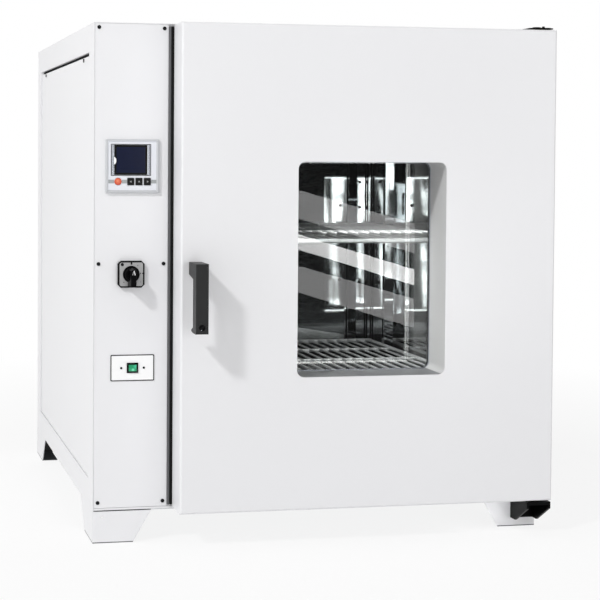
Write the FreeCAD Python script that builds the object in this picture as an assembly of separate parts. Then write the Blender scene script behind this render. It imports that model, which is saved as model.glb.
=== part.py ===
import FreeCAD, Part
import math
import os

from FreeCAD import Vector

# Floor-standing laboratory drying oven: a folded sheet cabinet on four sheet legs, a stainless
# chamber with a rear circulation fan, a control column on the left and one glazed door hung on
# the right. Lengths are in millimetres. X runs to the right, Z up and Y to the rear. The sketch
# planes count Y from the front of the control column, and save() moves every piece so that the
# origin is on the floor, under the middle of the whole oven.

# Cabinet
WIDTH = 840.0
DEPTH = 965.0
HEIGHT = 930.0
SHEET = 1.5
SEAT = 0.3
FRAME_SETBACK = 2.0
LIP_HEIGHT = 4.0
LIP_GAP = 1.5

# Legs, folded from the side panels
LEG_HEIGHT = 57.0
LEG_PLATE_TOP = 106.0
LEG_PLATE_FLOOR = 73.0
LEG_SIDE_TOP = 165.0
LEG_SIDE_FLOOR = 110.0
FOOT_FLANGE = 34.0
LEG_HOLE_RADIUS = 2.0
LEG_HOLE_INSET = 18.0
LEG_HOLE_DROP = 11.0

# Access opening in the left side and its inset cover
ACCESS_FRONT = 67.0
ACCESS_REAR_MARGIN = 60.0
ACCESS_BOTTOM = 105.0
ACCESS_TOP_MARGIN = 50.0
ACCESS_GAP = 0.8
ACCESS_SLIT = 6.0
ACCESS_INSET = 2.5
ACCESS_LEDGE = 14.0
ACCESS_SCREW_EDGE = 4.5
ACCESS_SCREW_END = 90.0

# Control column
COLUMN_WIDTH = 134.0
COVER_BOTTOM_GAP = 0.7
COVER_FLANGE = 1.7
COVER_SCREW_EDGE = 7.5
COVER_SCREW_TOP = 7.0
COVER_SCREW_BOTTOM = 9.5
COVER_SCREW_MIDDLE_Z = 500.7
SCREW_HEAD_RADIUS = 3.4
SCREW_HEAD_HEIGHT = 1.8
SCREW_SHANK_RADIUS = 1.6

# Chamber and its lagging
LAGGING_LEFT = 61.0
LAGGING_RIGHT = 75.0
LAGGING_BELOW = 73.0
LAGGING_ABOVE = 70.0
LAGGING_REAR = 115.0
LINER = 1.5
WELD_SEAM = 1.0

# Air baffle, fan and heater behind it
BAFFLE_DEPTH = 52.0
BAFFLE_SIDE_GAP = 74.0
BAFFLE_END_GAP = 22.0
BAFFLE_FLANGE = 12.0
BAFFLE_SCREWS = 4
BAFFLE_SCREW_RADIUS = 4.0
BAFFLE_SCREW_HEIGHT = 3.0
INTAKE_RADIUS = 78.0
INTAKE_SLOT_HEIGHT = 7.0
INTAKE_SLOT_PITCH = 17.0
OUTLET_SLOTS = 7
OUTLET_SLOT_LENGTH = 52.0
OUTLET_SLOT_WIDTH = 14.0
OUTLET_SLOT_PITCH = 88.0
IMPELLER_RADIUS = 92.0
IMPELLER_WIDTH = 26.0
IMPELLER_BLADES = 12
IMPELLER_HUB_RADIUS = 13.0
IMPELLER_BACK_GAP = 9.0
BLADE_THICKNESS = 1.5
BLADE_INNER_RADIUS = 44.0
SHAFT_RADIUS = 5.0
SHAFT_RUNNING_GAP = 0.05
SHAFT_HOLE_GAP = 2.0
MOTOR_RADIUS = 46.0
MOTOR_LENGTH = 44.0
MOTOR_BOSS_RADIUS = 16.0
MOTOR_BOSS_LENGTH = 8.0
MOTOR_FINS = 14
MOTOR_FIN_HEIGHT = 3.0
MOTOR_COVER_SIDE = 150.0
MOTOR_COVER_DEPTH = 70.0
MOTOR_COVER_FLANGE = 14.0
MOTOR_COVER_SLOTS = 6
HEATER_RING_RADIUS = 118.0
HEATER_ROD_RADIUS = 4.2
HEATER_LEG_SPREAD = 40.0
HEATER_COLLAR_RADIUS = 9.0
PROBE_RADIUS = 3.0
PROBE_REACH = 60.0
PROBE_BELOW_ROOF = 60.0

# Shelves and their rails
SHELF_LEVELS = (273.0, 541.0)
SHELF_FRONT = 55.0
SHELF_REAR_GAP = 8.0
SHELF_SIDE_GAP = 14.0
SHELF_FRAME_RADIUS = 4.0
SHELF_WIRE_RADIUS = 1.8
SHELF_WIRE_PITCH = 22.5
SHELF_CROSS_RODS = 3
RAIL_THICKNESS = 10.0
RAIL_WIDTH = 18.0
RAIL_INSET = 50.0
RAIL_FOOT = 18.0
LEDGE_WIDTH = 30.0
LEDGE_HEIGHT = 12.0
LEDGE_FRONT = 60.0
LEDGE_REAR_GAP = 90.0

# Door
DOOR_GAP = 8.0
DOOR_THICKNESS = 76.0
DOOR_SIDE_GAP = 9.0
DOOR_BOTTOM_RISE = 6.0
DOOR_TOP_DROP = 2.0
DOOR_EDGE_RADIUS = 4.0
PLUG_CLEARANCE = 10.0
PLUG_REACH = 22.0
WINDOW_LEFT = 211.0
WINDOW_WIDTH = 276.0
WINDOW_BOTTOM = 238.0
WINDOW_HEIGHT = 384.0
WINDOW_CORNER = 13.0
GLASS = 4.0
GLASS_SPACING = 6.0
GLASS_LAP = 12.0
GLASS_SEAL_WIDTH = 20.0
GLASS_FRAME_WIDTH = 18.0
GASKET_WIDTH = 18.0
GASKET_OVERHANG = 3.0
GASKET_HINGE_SETBACK = 51.5
GASKET_END_SETBACK = 3.0

# Handle and latch
HANDLE_LEFT_SETBACK = 13.7
HANDLE_TOP_Z = 508.8
HANDLE_LENGTH = 121.0
HANDLE_WIDTH = 22.4
HANDLE_REACH = 69.0
HANDLE_BAR_DEPTH = 28.5
HANDLE_NECK_HEIGHT = 21.5
HANDLE_NECK_SLOPE = 6.0
HANDLE_EDGE = 2.0
HANDLE_NIB_DEPTH = 14.0
HANDLE_NIB_HEIGHT = 10.0
HANDLE_LOCK_RADIUS = 7.5
SPINDLE_RADIUS = 6.0
BUSH_WALL = 3.0
BUSH_FLANGE = 2.0
LATCH_LENGTH = 26.0
LATCH_WIDTH = 14.0
LATCH_THICKNESS = 3.5
KEEPER_WIDTH = 16.0
KEEPER_HEIGHT = 36.0
KEEPER_SHEET = 1.5
KEEPER_LIP = 5.0

# Door hinges
HINGE_INSET = 25.0
HINGE_FORWARD = 45.0
HINGE_PLATE = 6.0
TOP_HINGE_PLATE = 2.0
HINGE_WIDTH = 46.0
HINGE_REACH = 83.5
HINGE_DROP = 38.0
HINGE_GUSSET = 4.0
HINGE_GUSSET_FOOT = 20.0
TOP_HINGE_REACH = 80.0
HINGE_TOP_TAIL = 30.0
HINGE_BOLT_RADIUS = 6.0
HINGE_BOLT_HEIGHT = 3.0
HINGE_LOCK_RADIUS = 2.5
HINGE_LOCK_SHIFT = 4.0
HINGE_LOCK_SETBACK = 12.0
PIN_RADIUS = 5.0
PIN_REACH = 20.0
PIN_NUT_HEIGHT = 6.0
PIN_NUT_RADIUS = 9.0
HINGE_BUSH_RADIUS = 9.0

# Controller, in a 96 x 96 panel cut-out
CONTROLLER_SIDE = 96.0
CONTROLLER_BODY = 91.0
CONTROLLER_BODY_DEPTH = 68.0
CONTROLLER_PROUD = 6.0
CONTROLLER_CENTRE_X = 69.0
CONTROLLER_CENTRE_Z = 675.0
CONTROLLER_BORDER = 3.0
CONTROLLER_FACE_DROP = 2.0
CONTROLLER_INNER_BEVEL = 1.8
SCREEN_WIDTH = 69.5
SCREEN_HEIGHT = 54.0
SCREEN_RECESS = 2.5
SCREEN_RIGHT_SHIFT = -2.7
SCREEN_UP_SHIFT = 11.2
KEY_ROW_DROP = 27.3
KEY_WIDTH = 12.2
KEY_HEIGHT = 12.8
KEY_CENTRES = (-3.0, 11.7, 26.8)
KEY_PROUD = 1.6
KEY_TRAVEL = 1.2
KEY_GUIDE = 3.0
KEY_GAP = 0.3
START_BUTTON_SHIFT = -26.0
START_BUTTON_RADIUS = 6.4

# Cam switch
CAM_SIDE = 48.0
CAM_CORNER = 5.5
CAM_PLATE = 8.5
CAM_BORDER = 1.9
CAM_LABEL_RECESS = 0.6
CAM_CENTRE_X = 67.0
CAM_CENTRE_Z = 482.4
CAM_BODY_SIDE = 40.0
CAM_BODY_DEPTH = 52.0
CAM_KNOB_RADIUS = 13.0
CAM_KNOB_BASE = 7.0
CAM_GRIP_ROOT = 13.0
CAM_GRIP_CREST = 9.6
CAM_GRIP_LENGTH = 36.5
CAM_GRIP_OVER = 13.0
CAM_GRIP_POINT = 3.0
CAM_GRIP_HEIGHT = 29.5
CAM_GRIP_TAPER = 2.5
CAM_SHAFT_RADIUS = 3.0

# Lamp switch: green rocker in a plate
SWITCH_PLATE_WIDTH = 75.5
SWITCH_PLATE_HEIGHT = 43.8
SWITCH_PLATE = 2.0
SWITCH_PLATE_CHAMFER = 0.6
SWITCH_CENTRE_X = 70.8
SWITCH_CENTRE_Z = 314.2
SWITCH_FRAME_WIDTH = 20.0
SWITCH_FRAME_HEIGHT = 17.7
SWITCH_FRAME_PROUD = 2.0
SWITCH_OPENING_WIDTH = 16.6
SWITCH_OPENING_HEIGHT = 15.7
SWITCH_BODY_DEPTH = 26.0
ROCKER_WIDTH = 15.8
ROCKER_HEIGHT = 13.0
ROCKER_PIVOT_DEPTH = 2.0
ROCKER_PROUD = 1.2
ROCKER_CROWN = 1.2
ROCKER_PIN_RADIUS = 1.5
SWITCH_SCREW_SHIFT = 20.4
SWITCH_SCREW_RADIUS = 2.1
SWITCH_SCREW_HEIGHT = 1.0

# Exhaust and cable entry at the rear
EXHAUST_RADIUS = 25.0
EXHAUST_WALL = 1.5
EXHAUST_REACH = 60.0
EXHAUST_COLLAR = 12.0
EXHAUST_COLLAR_THICKNESS = 2.0
EXHAUST_FROM_RIGHT = 37.0
EXHAUST_BELOW_ROOF = 68.0
EXHAUST_FREE_END = 40.0
EXHAUST_BEAD = 2.0
DAMPER_GAP = 1.0
DAMPER_THICKNESS = 1.5
DAMPER_SPINDLE_RADIUS = 2.5
DAMPER_LEVER = 32.0
DAMPER_LEVER_WIDTH = 8.0
DAMPER_SETBACK = 9.0
GLAND_RADIUS = 10.0
GLAND_BORE = 4.5
GLAND_NUT_RADIUS = 14.0
GLAND_HEIGHT = 24.0
GLAND_CENTRE_X = 66.0
GLAND_CENTRE_Z = 130.0

# Louvres that air the wiring space
LOUVRES = 9
LOUVRE_LENGTH = 70.0
LOUVRE_HEIGHT = 4.0
LOUVRE_PITCH = 16.0

# Planes and edges that follow from the sizes above
LEFT = -WIDTH / 2
RIGHT = WIDTH / 2
COLUMN_RIGHT = LEFT + COLUMN_WIDTH
FRAME_FRONT = FRAME_SETBACK
FRAME_BACK = FRAME_FRONT + SHEET
SHELL_TOP = HEIGHT - SHEET
FLOOR_SHEET_TOP = LEG_HEIGHT + SHEET
LIP_BOTTOM = LEG_HEIGHT + LIP_GAP
LIP_TOP = LIP_BOTTOM + LIP_HEIGHT
COVER_BOTTOM = LIP_TOP + COVER_BOTTOM_GAP
COVER_TOP = SHELL_TOP - SEAT
CHAMBER_LEFT = COLUMN_RIGHT + LAGGING_LEFT
CHAMBER_RIGHT = RIGHT - LAGGING_RIGHT
CHAMBER_FLOOR = LEG_HEIGHT + LAGGING_BELOW
CHAMBER_ROOF = HEIGHT - LAGGING_ABOVE
CHAMBER_BACK = DEPTH - LAGGING_REAR
CHAMBER_MIDDLE_X = (CHAMBER_LEFT + CHAMBER_RIGHT) / 2
CHAMBER_MIDDLE_Z = (CHAMBER_FLOOR + CHAMBER_ROOF) / 2
BAFFLE_FRONT = CHAMBER_BACK - BAFFLE_DEPTH
BAFFLE_LEFT = CHAMBER_LEFT + BAFFLE_SIDE_GAP
BAFFLE_RIGHT = CHAMBER_RIGHT - BAFFLE_SIDE_GAP
BAFFLE_BOTTOM = CHAMBER_FLOOR + BAFFLE_END_GAP
BAFFLE_TOP = CHAMBER_ROOF - BAFFLE_END_GAP
LEDGE_BACK = CHAMBER_BACK - LEDGE_REAR_GAP
REAR_INNER = DEPTH - SHEET
DOOR_LEFT = COLUMN_RIGHT + DOOR_SIDE_GAP
DOOR_RIGHT = RIGHT
DOOR_BOTTOM = LEG_HEIGHT + DOOR_BOTTOM_RISE
DOOR_TOP = HEIGHT - DOOR_TOP_DROP
DOOR_BACK = -DOOR_GAP
DOOR_FRONT = DOOR_BACK - DOOR_THICKNESS
WINDOW_X0 = DOOR_LEFT + WINDOW_LEFT
WINDOW_X1 = WINDOW_X0 + WINDOW_WIDTH
WINDOW_Z0 = DOOR_BOTTOM + WINDOW_BOTTOM
WINDOW_Z1 = WINDOW_Z0 + WINDOW_HEIGHT
PLUG_BACK = PLUG_REACH
PLUG_INNER = PLUG_BACK - LINER
INNER_GLASS_BACK = PLUG_INNER
INNER_GLASS_FRONT = INNER_GLASS_BACK - GLASS
OUTER_GLASS_BACK = INNER_GLASS_FRONT - GLASS_SPACING
OUTER_GLASS_FRONT = OUTER_GLASS_BACK - GLASS
HINGE_X = DOOR_RIGHT - HINGE_INSET
HINGE_Y = -HINGE_FORWARD
HANDLE_X0 = DOOR_LEFT + HANDLE_LEFT_SETBACK
HANDLE_X1 = HANDLE_X0 + HANDLE_WIDTH
HANDLE_FRONT = DOOR_FRONT - HANDLE_REACH
SPINDLE_X = (HANDLE_X0 + HANDLE_X1) / 2
SPINDLE_Z = HANDLE_TOP_Z - HANDLE_NECK_HEIGHT / 2
CONTROLLER_X = LEFT + CONTROLLER_CENTRE_X
CAM_X = LEFT + CAM_CENTRE_X
SWITCH_X = LEFT + SWITCH_CENTRE_X
EXHAUST_X = CHAMBER_RIGHT - EXHAUST_FROM_RIGHT
EXHAUST_Z = CHAMBER_ROOF - EXHAUST_BELOW_ROOF
GLAND_X = LEFT + GLAND_CENTRE_X
REAR_REACH = MOTOR_COVER_DEPTH
FRONT_REACH = DOOR_GAP + DOOR_THICKNESS + HANDLE_REACH
MIDDLE_DEPTH = (DEPTH + REAR_REACH - FRONT_REACH) / 2


def save(name, shape):
    """Write one piece, moved so that the origin is on the floor under the oven's middle."""
    placed = shape.copy()
    placed.translate(Vector(0, -MIDDLE_DEPTH, 0))
    placed.exportStep("parts/" + name + ".step")


def box(x0, x1, y0, y1, z0, z1):
    return Part.makeBox(x1 - x0, y1 - y0, z1 - z0, Vector(x0, y0, z0))


def rod(radius, start, end):
    """Round bar from one point to another."""
    line = Vector(*end) - Vector(*start)
    return Part.makeCylinder(radius, line.Length, Vector(*start), line)


def prism(points, direction):
    """Closed outline pushed along a direction."""
    corners = [Vector(*point) for point in points]
    outline = Part.makePolygon(corners + corners[:1])
    return Part.Face(outline).extrude(Vector(*direction))


def hexagon_y(x, z, radius, y0, y1):
    """Hexagonal bar along Y; the radius is to its corners."""
    turns = [math.radians(60 * step) for step in range(6)]
    corners = [(x + radius * math.cos(t), y0, z + radius * math.sin(t)) for t in turns]
    return prism(corners, (0, y1 - y0, 0))


def many_sided_bar(start, length, axis, radius, sides):
    """Straight wire as a bar of few sides along X or Y, with flats above and below."""
    x, y, z = start
    turns = [2 * math.pi * (step + 0.5) / sides for step in range(sides)]
    reach = radius / math.cos(math.pi / sides)
    if axis == "x":
        corners = [(x, y + reach * math.sin(t), z + reach * math.cos(t)) for t in turns]
        return prism(corners, (length, 0, 0))
    corners = [(x + reach * math.sin(t), y, z + reach * math.cos(t)) for t in turns]
    return prism(corners, (0, length, 0))


def rounded_plate(x0, x1, z0, z1, corner, y0, y1):
    """Plate facing the front, with its four corners rounded."""
    plate = box(x0, x1, y0, y1, z0, z1)
    edges = [edge for edge in plate.Edges if abs(edge.tangentAt(edge.FirstParameter).y) > 0.9]
    return plate.makeFillet(corner, edges)


def ring_plate(x0, x1, z0, z1, border, corner, y0, y1):
    """Rounded frame around a rounded opening; the box is the opening's."""
    outside = rounded_plate(x0 - border, x1 + border, z0 - border, z1 + border,
                            corner + border, y0, y1)
    return outside.cut(rounded_plate(x0, x1, z0, z1, corner, y0, y1))


def join(pieces):
    return pieces[0].fuse(pieces[1:]).removeSplitter()


def screw_y(x, z, seat_y, radius=SCREW_HEAD_RADIUS, height=SCREW_HEAD_HEIGHT, grip=SHEET):
    """Pan-head screw whose head stands in front of the plane seat_y and whose shank fills a hole."""
    head = Part.makeCylinder(radius, height, Vector(x, seat_y - height, z), Vector(0, 1, 0))
    rim = [edge for edge in head.Edges if abs(edge.BoundBox.YMin - (seat_y - height)) < 1e-6]
    head = head.makeChamfer(height * 0.4, [edge for edge in rim if edge.BoundBox.YLength < 1e-6])
    return head.fuse(rod(SCREW_SHANK_RADIUS, (x, seat_y, z), (x, seat_y + grip, z)))


def side_panel(side):
    """Cabinet side with its two legs in one sheet, plus the leg plates folded across the front
    and rear and a flange along each foot. Side is -1 on the left and +1 on the right."""
    outer = side * WIDTH / 2
    inner = outer - side * SHEET
    outline = [(outer, 0, 0), (outer, LEG_SIDE_FLOOR, 0), (outer, LEG_SIDE_TOP, LEG_HEIGHT),
               (outer, DEPTH - LEG_SIDE_TOP, LEG_HEIGHT), (outer, DEPTH - LEG_SIDE_FLOOR, 0),
               (outer, DEPTH, 0), (outer, DEPTH, SHELL_TOP), (outer, 0, SHELL_TOP)]
    pieces = [prism(outline, (inner - outer, 0, 0))]
    for front in (0, DEPTH - SHEET):
        leg = [(outer, front, 0), (outer - side * LEG_PLATE_FLOOR, front, 0),
               (outer - side * LEG_PLATE_TOP, front, LEG_HEIGHT), (outer, front, LEG_HEIGHT)]
        pieces.append(prism(leg, (0, SHEET, 0)))
    low, high = sorted((outer, outer - side * FOOT_FLANGE))
    pieces.append(box(low, high, 0, LEG_SIDE_FLOOR, 0, SHEET))
    pieces.append(box(low, high, DEPTH - LEG_SIDE_FLOOR, DEPTH, 0, SHEET))
    return join(pieces)


def access_box(gap, slit):
    """Edges of the access opening, drawn in by a gap all round and by a slit at the top."""
    return (ACCESS_FRONT + gap, DEPTH - ACCESS_REAR_MARGIN - gap,
            ACCESS_BOTTOM + gap, HEIGHT - ACCESS_TOP_MARGIN - slit)


def make_left_side_panel():
    """Left side with the access opening; its edges are joggled inward to a ledge that carries the
    inset cover, cut through above the cover so that air passes its slit. A small hole goes
    through the front leg plate."""
    y0, y1, z0, z1 = access_box(0, 0)
    ledge = LEFT + ACCESS_INSET + SHEET + SEAT
    wall = box(LEFT, ledge + SHEET, y0 - SHEET, y1 + SHEET, z0 - SHEET, z1 + SHEET)
    wall = wall.cut(box(LEFT - 1, ledge, y0, y1, z0, z1))
    wide = ACCESS_LEDGE
    wall = wall.cut([box(ledge - 1, ledge + SHEET + 1, y0 + wide, y1 - wide,
                         z0 + wide, z1 - ACCESS_SLIT - wide),
                     box(ledge - 1, ledge + SHEET + 1, y0 + wide, y1 - wide,
                         z1 - ACCESS_SLIT, z1)])
    panel = side_panel(-1).cut(box(LEFT - 1, LEFT + SHEET + 1, y0, y1, z0, z1)).fuse(wall)
    holes = [rod(SCREW_SHANK_RADIUS + SEAT, (ledge - 1, y, z), (ledge + SHEET + 1, y, z))
             for y, z in access_screw_places()]
    x, z = LEFT + LEG_HOLE_INSET, LEG_HEIGHT - LEG_HOLE_DROP
    holes.append(rod(LEG_HOLE_RADIUS, (x, -1, z), (x, SHEET + 1, z)))
    return panel.cut(holes).removeSplitter()


def access_screw_places():
    y0, y1, _, z1 = access_box(ACCESS_GAP, ACCESS_SLIT)
    height = z1 - ACCESS_SCREW_EDGE
    return [(y0 + ACCESS_SCREW_END, height), (y1 - ACCESS_SCREW_END, height)]


def make_access_cover():
    """Inset sheet that closes the access opening, with a slit left above it."""
    y0, y1, z0, z1 = access_box(ACCESS_GAP, ACCESS_SLIT)
    x0 = LEFT + ACCESS_INSET
    cover = box(x0, x0 + SHEET, y0, y1, z0, z1)
    for y, z in access_screw_places():
        cover = cover.cut(rod(SCREW_SHANK_RADIUS, (x0 - 1, y, z), (x0 + SHEET + 1, y, z)))
    return cover


def make_right_side_panel():
    return side_panel(1)


def make_top_cover():
    return box(LEFT, RIGHT, 0, DEPTH, SHELL_TOP, HEIGHT)


def make_bottom_panel():
    inset = SHEET + SEAT
    return box(LEFT + inset, RIGHT - inset, FRAME_BACK, REAR_INNER - SEAT,
               LEG_HEIGHT, FLOOR_SHEET_TOP)


def instrument_cuts(y0, y1):
    """The three openings that the instruments pass through."""
    body = CONTROLLER_BODY / 2 + SEAT
    cam = CAM_BODY_SIDE / 2 + SEAT
    switch_half, switch_rise = SWITCH_FRAME_WIDTH / 2 + SEAT, SWITCH_FRAME_HEIGHT / 2 + SEAT
    return [box(CONTROLLER_X - body, CONTROLLER_X + body, y0, y1,
                CONTROLLER_CENTRE_Z - body, CONTROLLER_CENTRE_Z + body),
            box(CAM_X - cam, CAM_X + cam, y0, y1, CAM_CENTRE_Z - cam, CAM_CENTRE_Z + cam),
            box(SWITCH_X - switch_half, SWITCH_X + switch_half, y0, y1,
                SWITCH_CENTRE_Z - switch_rise, SWITCH_CENTRE_Z + switch_rise)]


def make_front_frame():
    """Front sheet of the cabinet with the chamber mouth and the instrument openings, and the lip
    folded forward along its lower edge."""
    inset = SHEET + SEAT
    sheet = box(LEFT + inset, RIGHT - inset, FRAME_FRONT, FRAME_BACK, LIP_BOTTOM, COVER_TOP)
    mouth = box(CHAMBER_LEFT, CHAMBER_RIGHT, 0, FRAME_BACK + 1, CHAMBER_FLOOR, CHAMBER_ROOF)
    lip = box(LEFT + inset, RIGHT - inset, 0, FRAME_FRONT, LIP_BOTTOM, LIP_TOP)
    frame = join([sheet.cut(mouth), lip])
    holes = instrument_cuts(0, FRAME_BACK + 1)
    for x, z in cover_screw_places():
        holes.append(rod(SCREW_SHANK_RADIUS + SEAT, (x, 0, z), (x, FRAME_BACK + 1, z)))
    for z in (keeper_z() - KEEPER_HEIGHT / 3, keeper_z() + KEEPER_HEIGHT / 3):
        x = keeper_x() + KEEPER_WIDTH / 2
        holes.append(rod(SCREW_SHANK_RADIUS + SEAT, (x, 0, z), (x, FRAME_BACK + 1, z)))
    return frame.cut(holes)


def make_column_partition():
    """Sheet wall between the wiring space and the lagging, with the sensor's hole."""
    wall = box(COLUMN_RIGHT, COLUMN_RIGHT + SHEET, FRAME_BACK, REAR_INNER - SEAT,
               FLOOR_SHEET_TOP, COVER_TOP)
    return wall.cut(rod(PROBE_RADIUS + SEAT, (COLUMN_RIGHT - 1, probe_y(), probe_z()),
                        (COLUMN_RIGHT + SHEET + 1, probe_y(), probe_z())))


def cover_screw_places():
    xs = (LEFT + SHEET + COVER_SCREW_EDGE, COLUMN_RIGHT - COVER_SCREW_EDGE)
    zs = (COVER_BOTTOM + COVER_SCREW_BOTTOM, COVER_SCREW_MIDDLE_Z, COVER_TOP - COVER_SCREW_TOP)
    return [(x, z) for z in zs for x in xs]


def make_column_cover():
    """Front cover of the control column, its edges turned back to meet the frame."""
    x0 = LEFT + SHEET + SEAT
    plate = box(x0, COLUMN_RIGHT, 0, SHEET, COVER_BOTTOM, COVER_TOP)
    turned = FRAME_FRONT - SHEET
    rims = [box(x0, COLUMN_RIGHT, SHEET, SHEET + turned, COVER_TOP - COVER_FLANGE, COVER_TOP),
            box(x0, COLUMN_RIGHT, SHEET, SHEET + turned, COVER_BOTTOM, COVER_BOTTOM + COVER_FLANGE),
            box(x0, x0 + COVER_FLANGE, SHEET, SHEET + turned, COVER_BOTTOM, COVER_TOP),
            box(COLUMN_RIGHT - COVER_FLANGE, COLUMN_RIGHT, SHEET, SHEET + turned,
                COVER_BOTTOM, COVER_TOP)]
    cover = join([plate] + rims)
    holes = instrument_cuts(-1, FRAME_FRONT + 1)
    for x, z in cover_screw_places():
        holes.append(rod(SCREW_SHANK_RADIUS, (x, -1, z), (x, FRAME_FRONT + 1, z)))
    for side in (-1, 1):
        x = SWITCH_X + side * SWITCH_SCREW_SHIFT
        holes.append(rod(SCREW_SHANK_RADIUS, (x, -1, SWITCH_CENTRE_Z), (x, SHEET, SWITCH_CENTRE_Z)))
    return cover.cut(holes)


def make_panel_screws():
    """The screws of the column cover, of the lamp switch plate and of the access cover."""
    screws = [screw_y(x, z, 0, grip=FRAME_BACK) for x, z in cover_screw_places()]
    for side in (-1, 1):
        x = SWITCH_X + side * SWITCH_SCREW_SHIFT
        screws.append(screw_y(x, SWITCH_CENTRE_Z, -SWITCH_PLATE, SWITCH_SCREW_RADIUS,
                              SWITCH_SCREW_HEIGHT, SWITCH_PLATE + SHEET))
    seat = LEFT + ACCESS_INSET
    for y, z in access_screw_places():
        head_height = min(SCREW_HEAD_HEIGHT, ACCESS_INSET - SEAT)
        head = rod(SCREW_HEAD_RADIUS, (seat - head_height, y, z), (seat, y, z))
        shank_end = (seat + 2 * SHEET + SEAT, y, z)
        screws.append(head.fuse(rod(SCREW_SHANK_RADIUS, (seat, y, z), shank_end)))
    return Part.makeCompound(screws)


def rear_louvre_boxes():
    """Slots that air the wiring space."""
    x0 = LEFT + (COLUMN_WIDTH - LOUVRE_LENGTH) / 2
    top = HEIGHT - ACCESS_TOP_MARGIN - LOUVRE_PITCH
    return [box(x0, x0 + LOUVRE_LENGTH, REAR_INNER - 1, DEPTH + 1,
                top - step * LOUVRE_PITCH - LOUVRE_HEIGHT, top - step * LOUVRE_PITCH)
            for step in range(LOUVRES)]


def make_rear_panel():
    """Rear sheet with louvre slots and the holes for shaft, heater legs, exhaust, probe and cable."""
    inset = SHEET + SEAT
    panel = box(LEFT + inset, RIGHT - inset, REAR_INNER, DEPTH, LIP_BOTTOM, COVER_TOP)
    holes = rear_louvre_boxes()
    back = REAR_INNER - 1
    holes.append(rod(SHAFT_RADIUS + SHAFT_HOLE_GAP, (CHAMBER_MIDDLE_X, back, CHAMBER_MIDDLE_Z),
                     (CHAMBER_MIDDLE_X, DEPTH + 1, CHAMBER_MIDDLE_Z)))
    holes.append(rod(EXHAUST_RADIUS + SEAT, (EXHAUST_X, back, EXHAUST_Z),
                     (EXHAUST_X, DEPTH + 1, EXHAUST_Z)))
    holes.append(rod(GLAND_RADIUS + SEAT, (GLAND_X, back, GLAND_CENTRE_Z),
                     (GLAND_X, DEPTH + 1, GLAND_CENTRE_Z)))
    return panel.cut(holes)


def make_chamber_walls():
    """The five stainless sheets of the chamber, met edge to face along their welded seams."""
    front = FRAME_BACK
    x0, x1 = CHAMBER_LEFT - LINER, CHAMBER_RIGHT + LINER
    z0, z1 = CHAMBER_FLOOR - LINER, CHAMBER_ROOF + LINER
    rear = box(x0, x1, CHAMBER_BACK, CHAMBER_BACK + LINER, z0, z1)
    back = CHAMBER_BACK + LINER + 1
    middle = (CHAMBER_MIDDLE_X, CHAMBER_MIDDLE_Z)
    holes = [rod(SHAFT_RADIUS + SHAFT_HOLE_GAP, (middle[0], CHAMBER_BACK - 1, middle[1]),
                 (middle[0], back, middle[1])),
             rod(EXHAUST_RADIUS + SEAT, (EXHAUST_X, CHAMBER_BACK - 1, EXHAUST_Z),
                 (EXHAUST_X, back, EXHAUST_Z))]
    for x in heater_leg_places():
        holes.append(rod(HEATER_ROD_RADIUS + SEAT, (x, CHAMBER_BACK - 1, heater_leg_z()),
                         (x, back, heater_leg_z())))
    side_hole = rod(PROBE_RADIUS + SEAT, (CHAMBER_LEFT - LINER - 1, probe_y(), probe_z()),
                    (CHAMBER_LEFT + 1, probe_y(), probe_z()))
    return {"chamber_floor": box(x0, x1, front, CHAMBER_BACK, z0, CHAMBER_FLOOR),
            "chamber_roof": box(x0, x1, front, CHAMBER_BACK, CHAMBER_ROOF, z1),
            "chamber_left_wall": box(x0, CHAMBER_LEFT, front, CHAMBER_BACK,
                                     CHAMBER_FLOOR, CHAMBER_ROOF).cut(side_hole),
            "chamber_right_wall": box(CHAMBER_RIGHT, x1, front, CHAMBER_BACK,
                                      CHAMBER_FLOOR, CHAMBER_ROOF),
            "chamber_rear_wall": rear.cut(holes)}


def make_lagging():
    """Mineral wool packed between the chamber and the cabinet, with the holes that cross it."""
    outer = box(COLUMN_RIGHT + SHEET + SEAT, RIGHT - SHEET - SEAT, FRAME_BACK + SEAT,
                REAR_INNER - SEAT, FLOOR_SHEET_TOP + SEAT, SHELL_TOP - SEAT)
    hollow = box(CHAMBER_LEFT - LINER - SEAT, CHAMBER_RIGHT + LINER + SEAT, FRAME_BACK,
                 CHAMBER_BACK + LINER + SEAT, CHAMBER_FLOOR - LINER - SEAT,
                 CHAMBER_ROOF + LINER + SEAT)
    rear = REAR_INNER + 1
    cuts = [hollow,
            rod(SHAFT_RADIUS + SHAFT_HOLE_GAP, (CHAMBER_MIDDLE_X, CHAMBER_BACK, CHAMBER_MIDDLE_Z),
                (CHAMBER_MIDDLE_X, rear, CHAMBER_MIDDLE_Z)),
            rod(EXHAUST_RADIUS + 2 * SEAT, (EXHAUST_X, CHAMBER_BACK, EXHAUST_Z),
                (EXHAUST_X, rear, EXHAUST_Z)),
            rod(PROBE_RADIUS + SEAT, (COLUMN_RIGHT, probe_y(), probe_z()),
                (CHAMBER_LEFT, probe_y(), probe_z()))]
    for x in heater_leg_places():
        cuts.append(rod(HEATER_COLLAR_RADIUS + SEAT, (x, CHAMBER_BACK, heater_leg_z()),
                        (x, heater_leg_end() + SEAT, heater_leg_z())))
    return outer.cut(cuts)


def intake_boxes(y0, y1):
    """Horizontal slots whose ends follow the fan's intake circle."""
    count = int(INTAKE_RADIUS // INTAKE_SLOT_PITCH)
    slots = []
    for step in range(-count, count + 1):
        z = CHAMBER_MIDDLE_Z + step * INTAKE_SLOT_PITCH
        half = math.sqrt(INTAKE_RADIUS ** 2 - (step * INTAKE_SLOT_PITCH) ** 2)
        slots.append(box(CHAMBER_MIDDLE_X - half, CHAMBER_MIDDLE_X + half, y0, y1,
                         z - INTAKE_SLOT_HEIGHT / 2, z + INTAKE_SLOT_HEIGHT / 2))
    return slots


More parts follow.
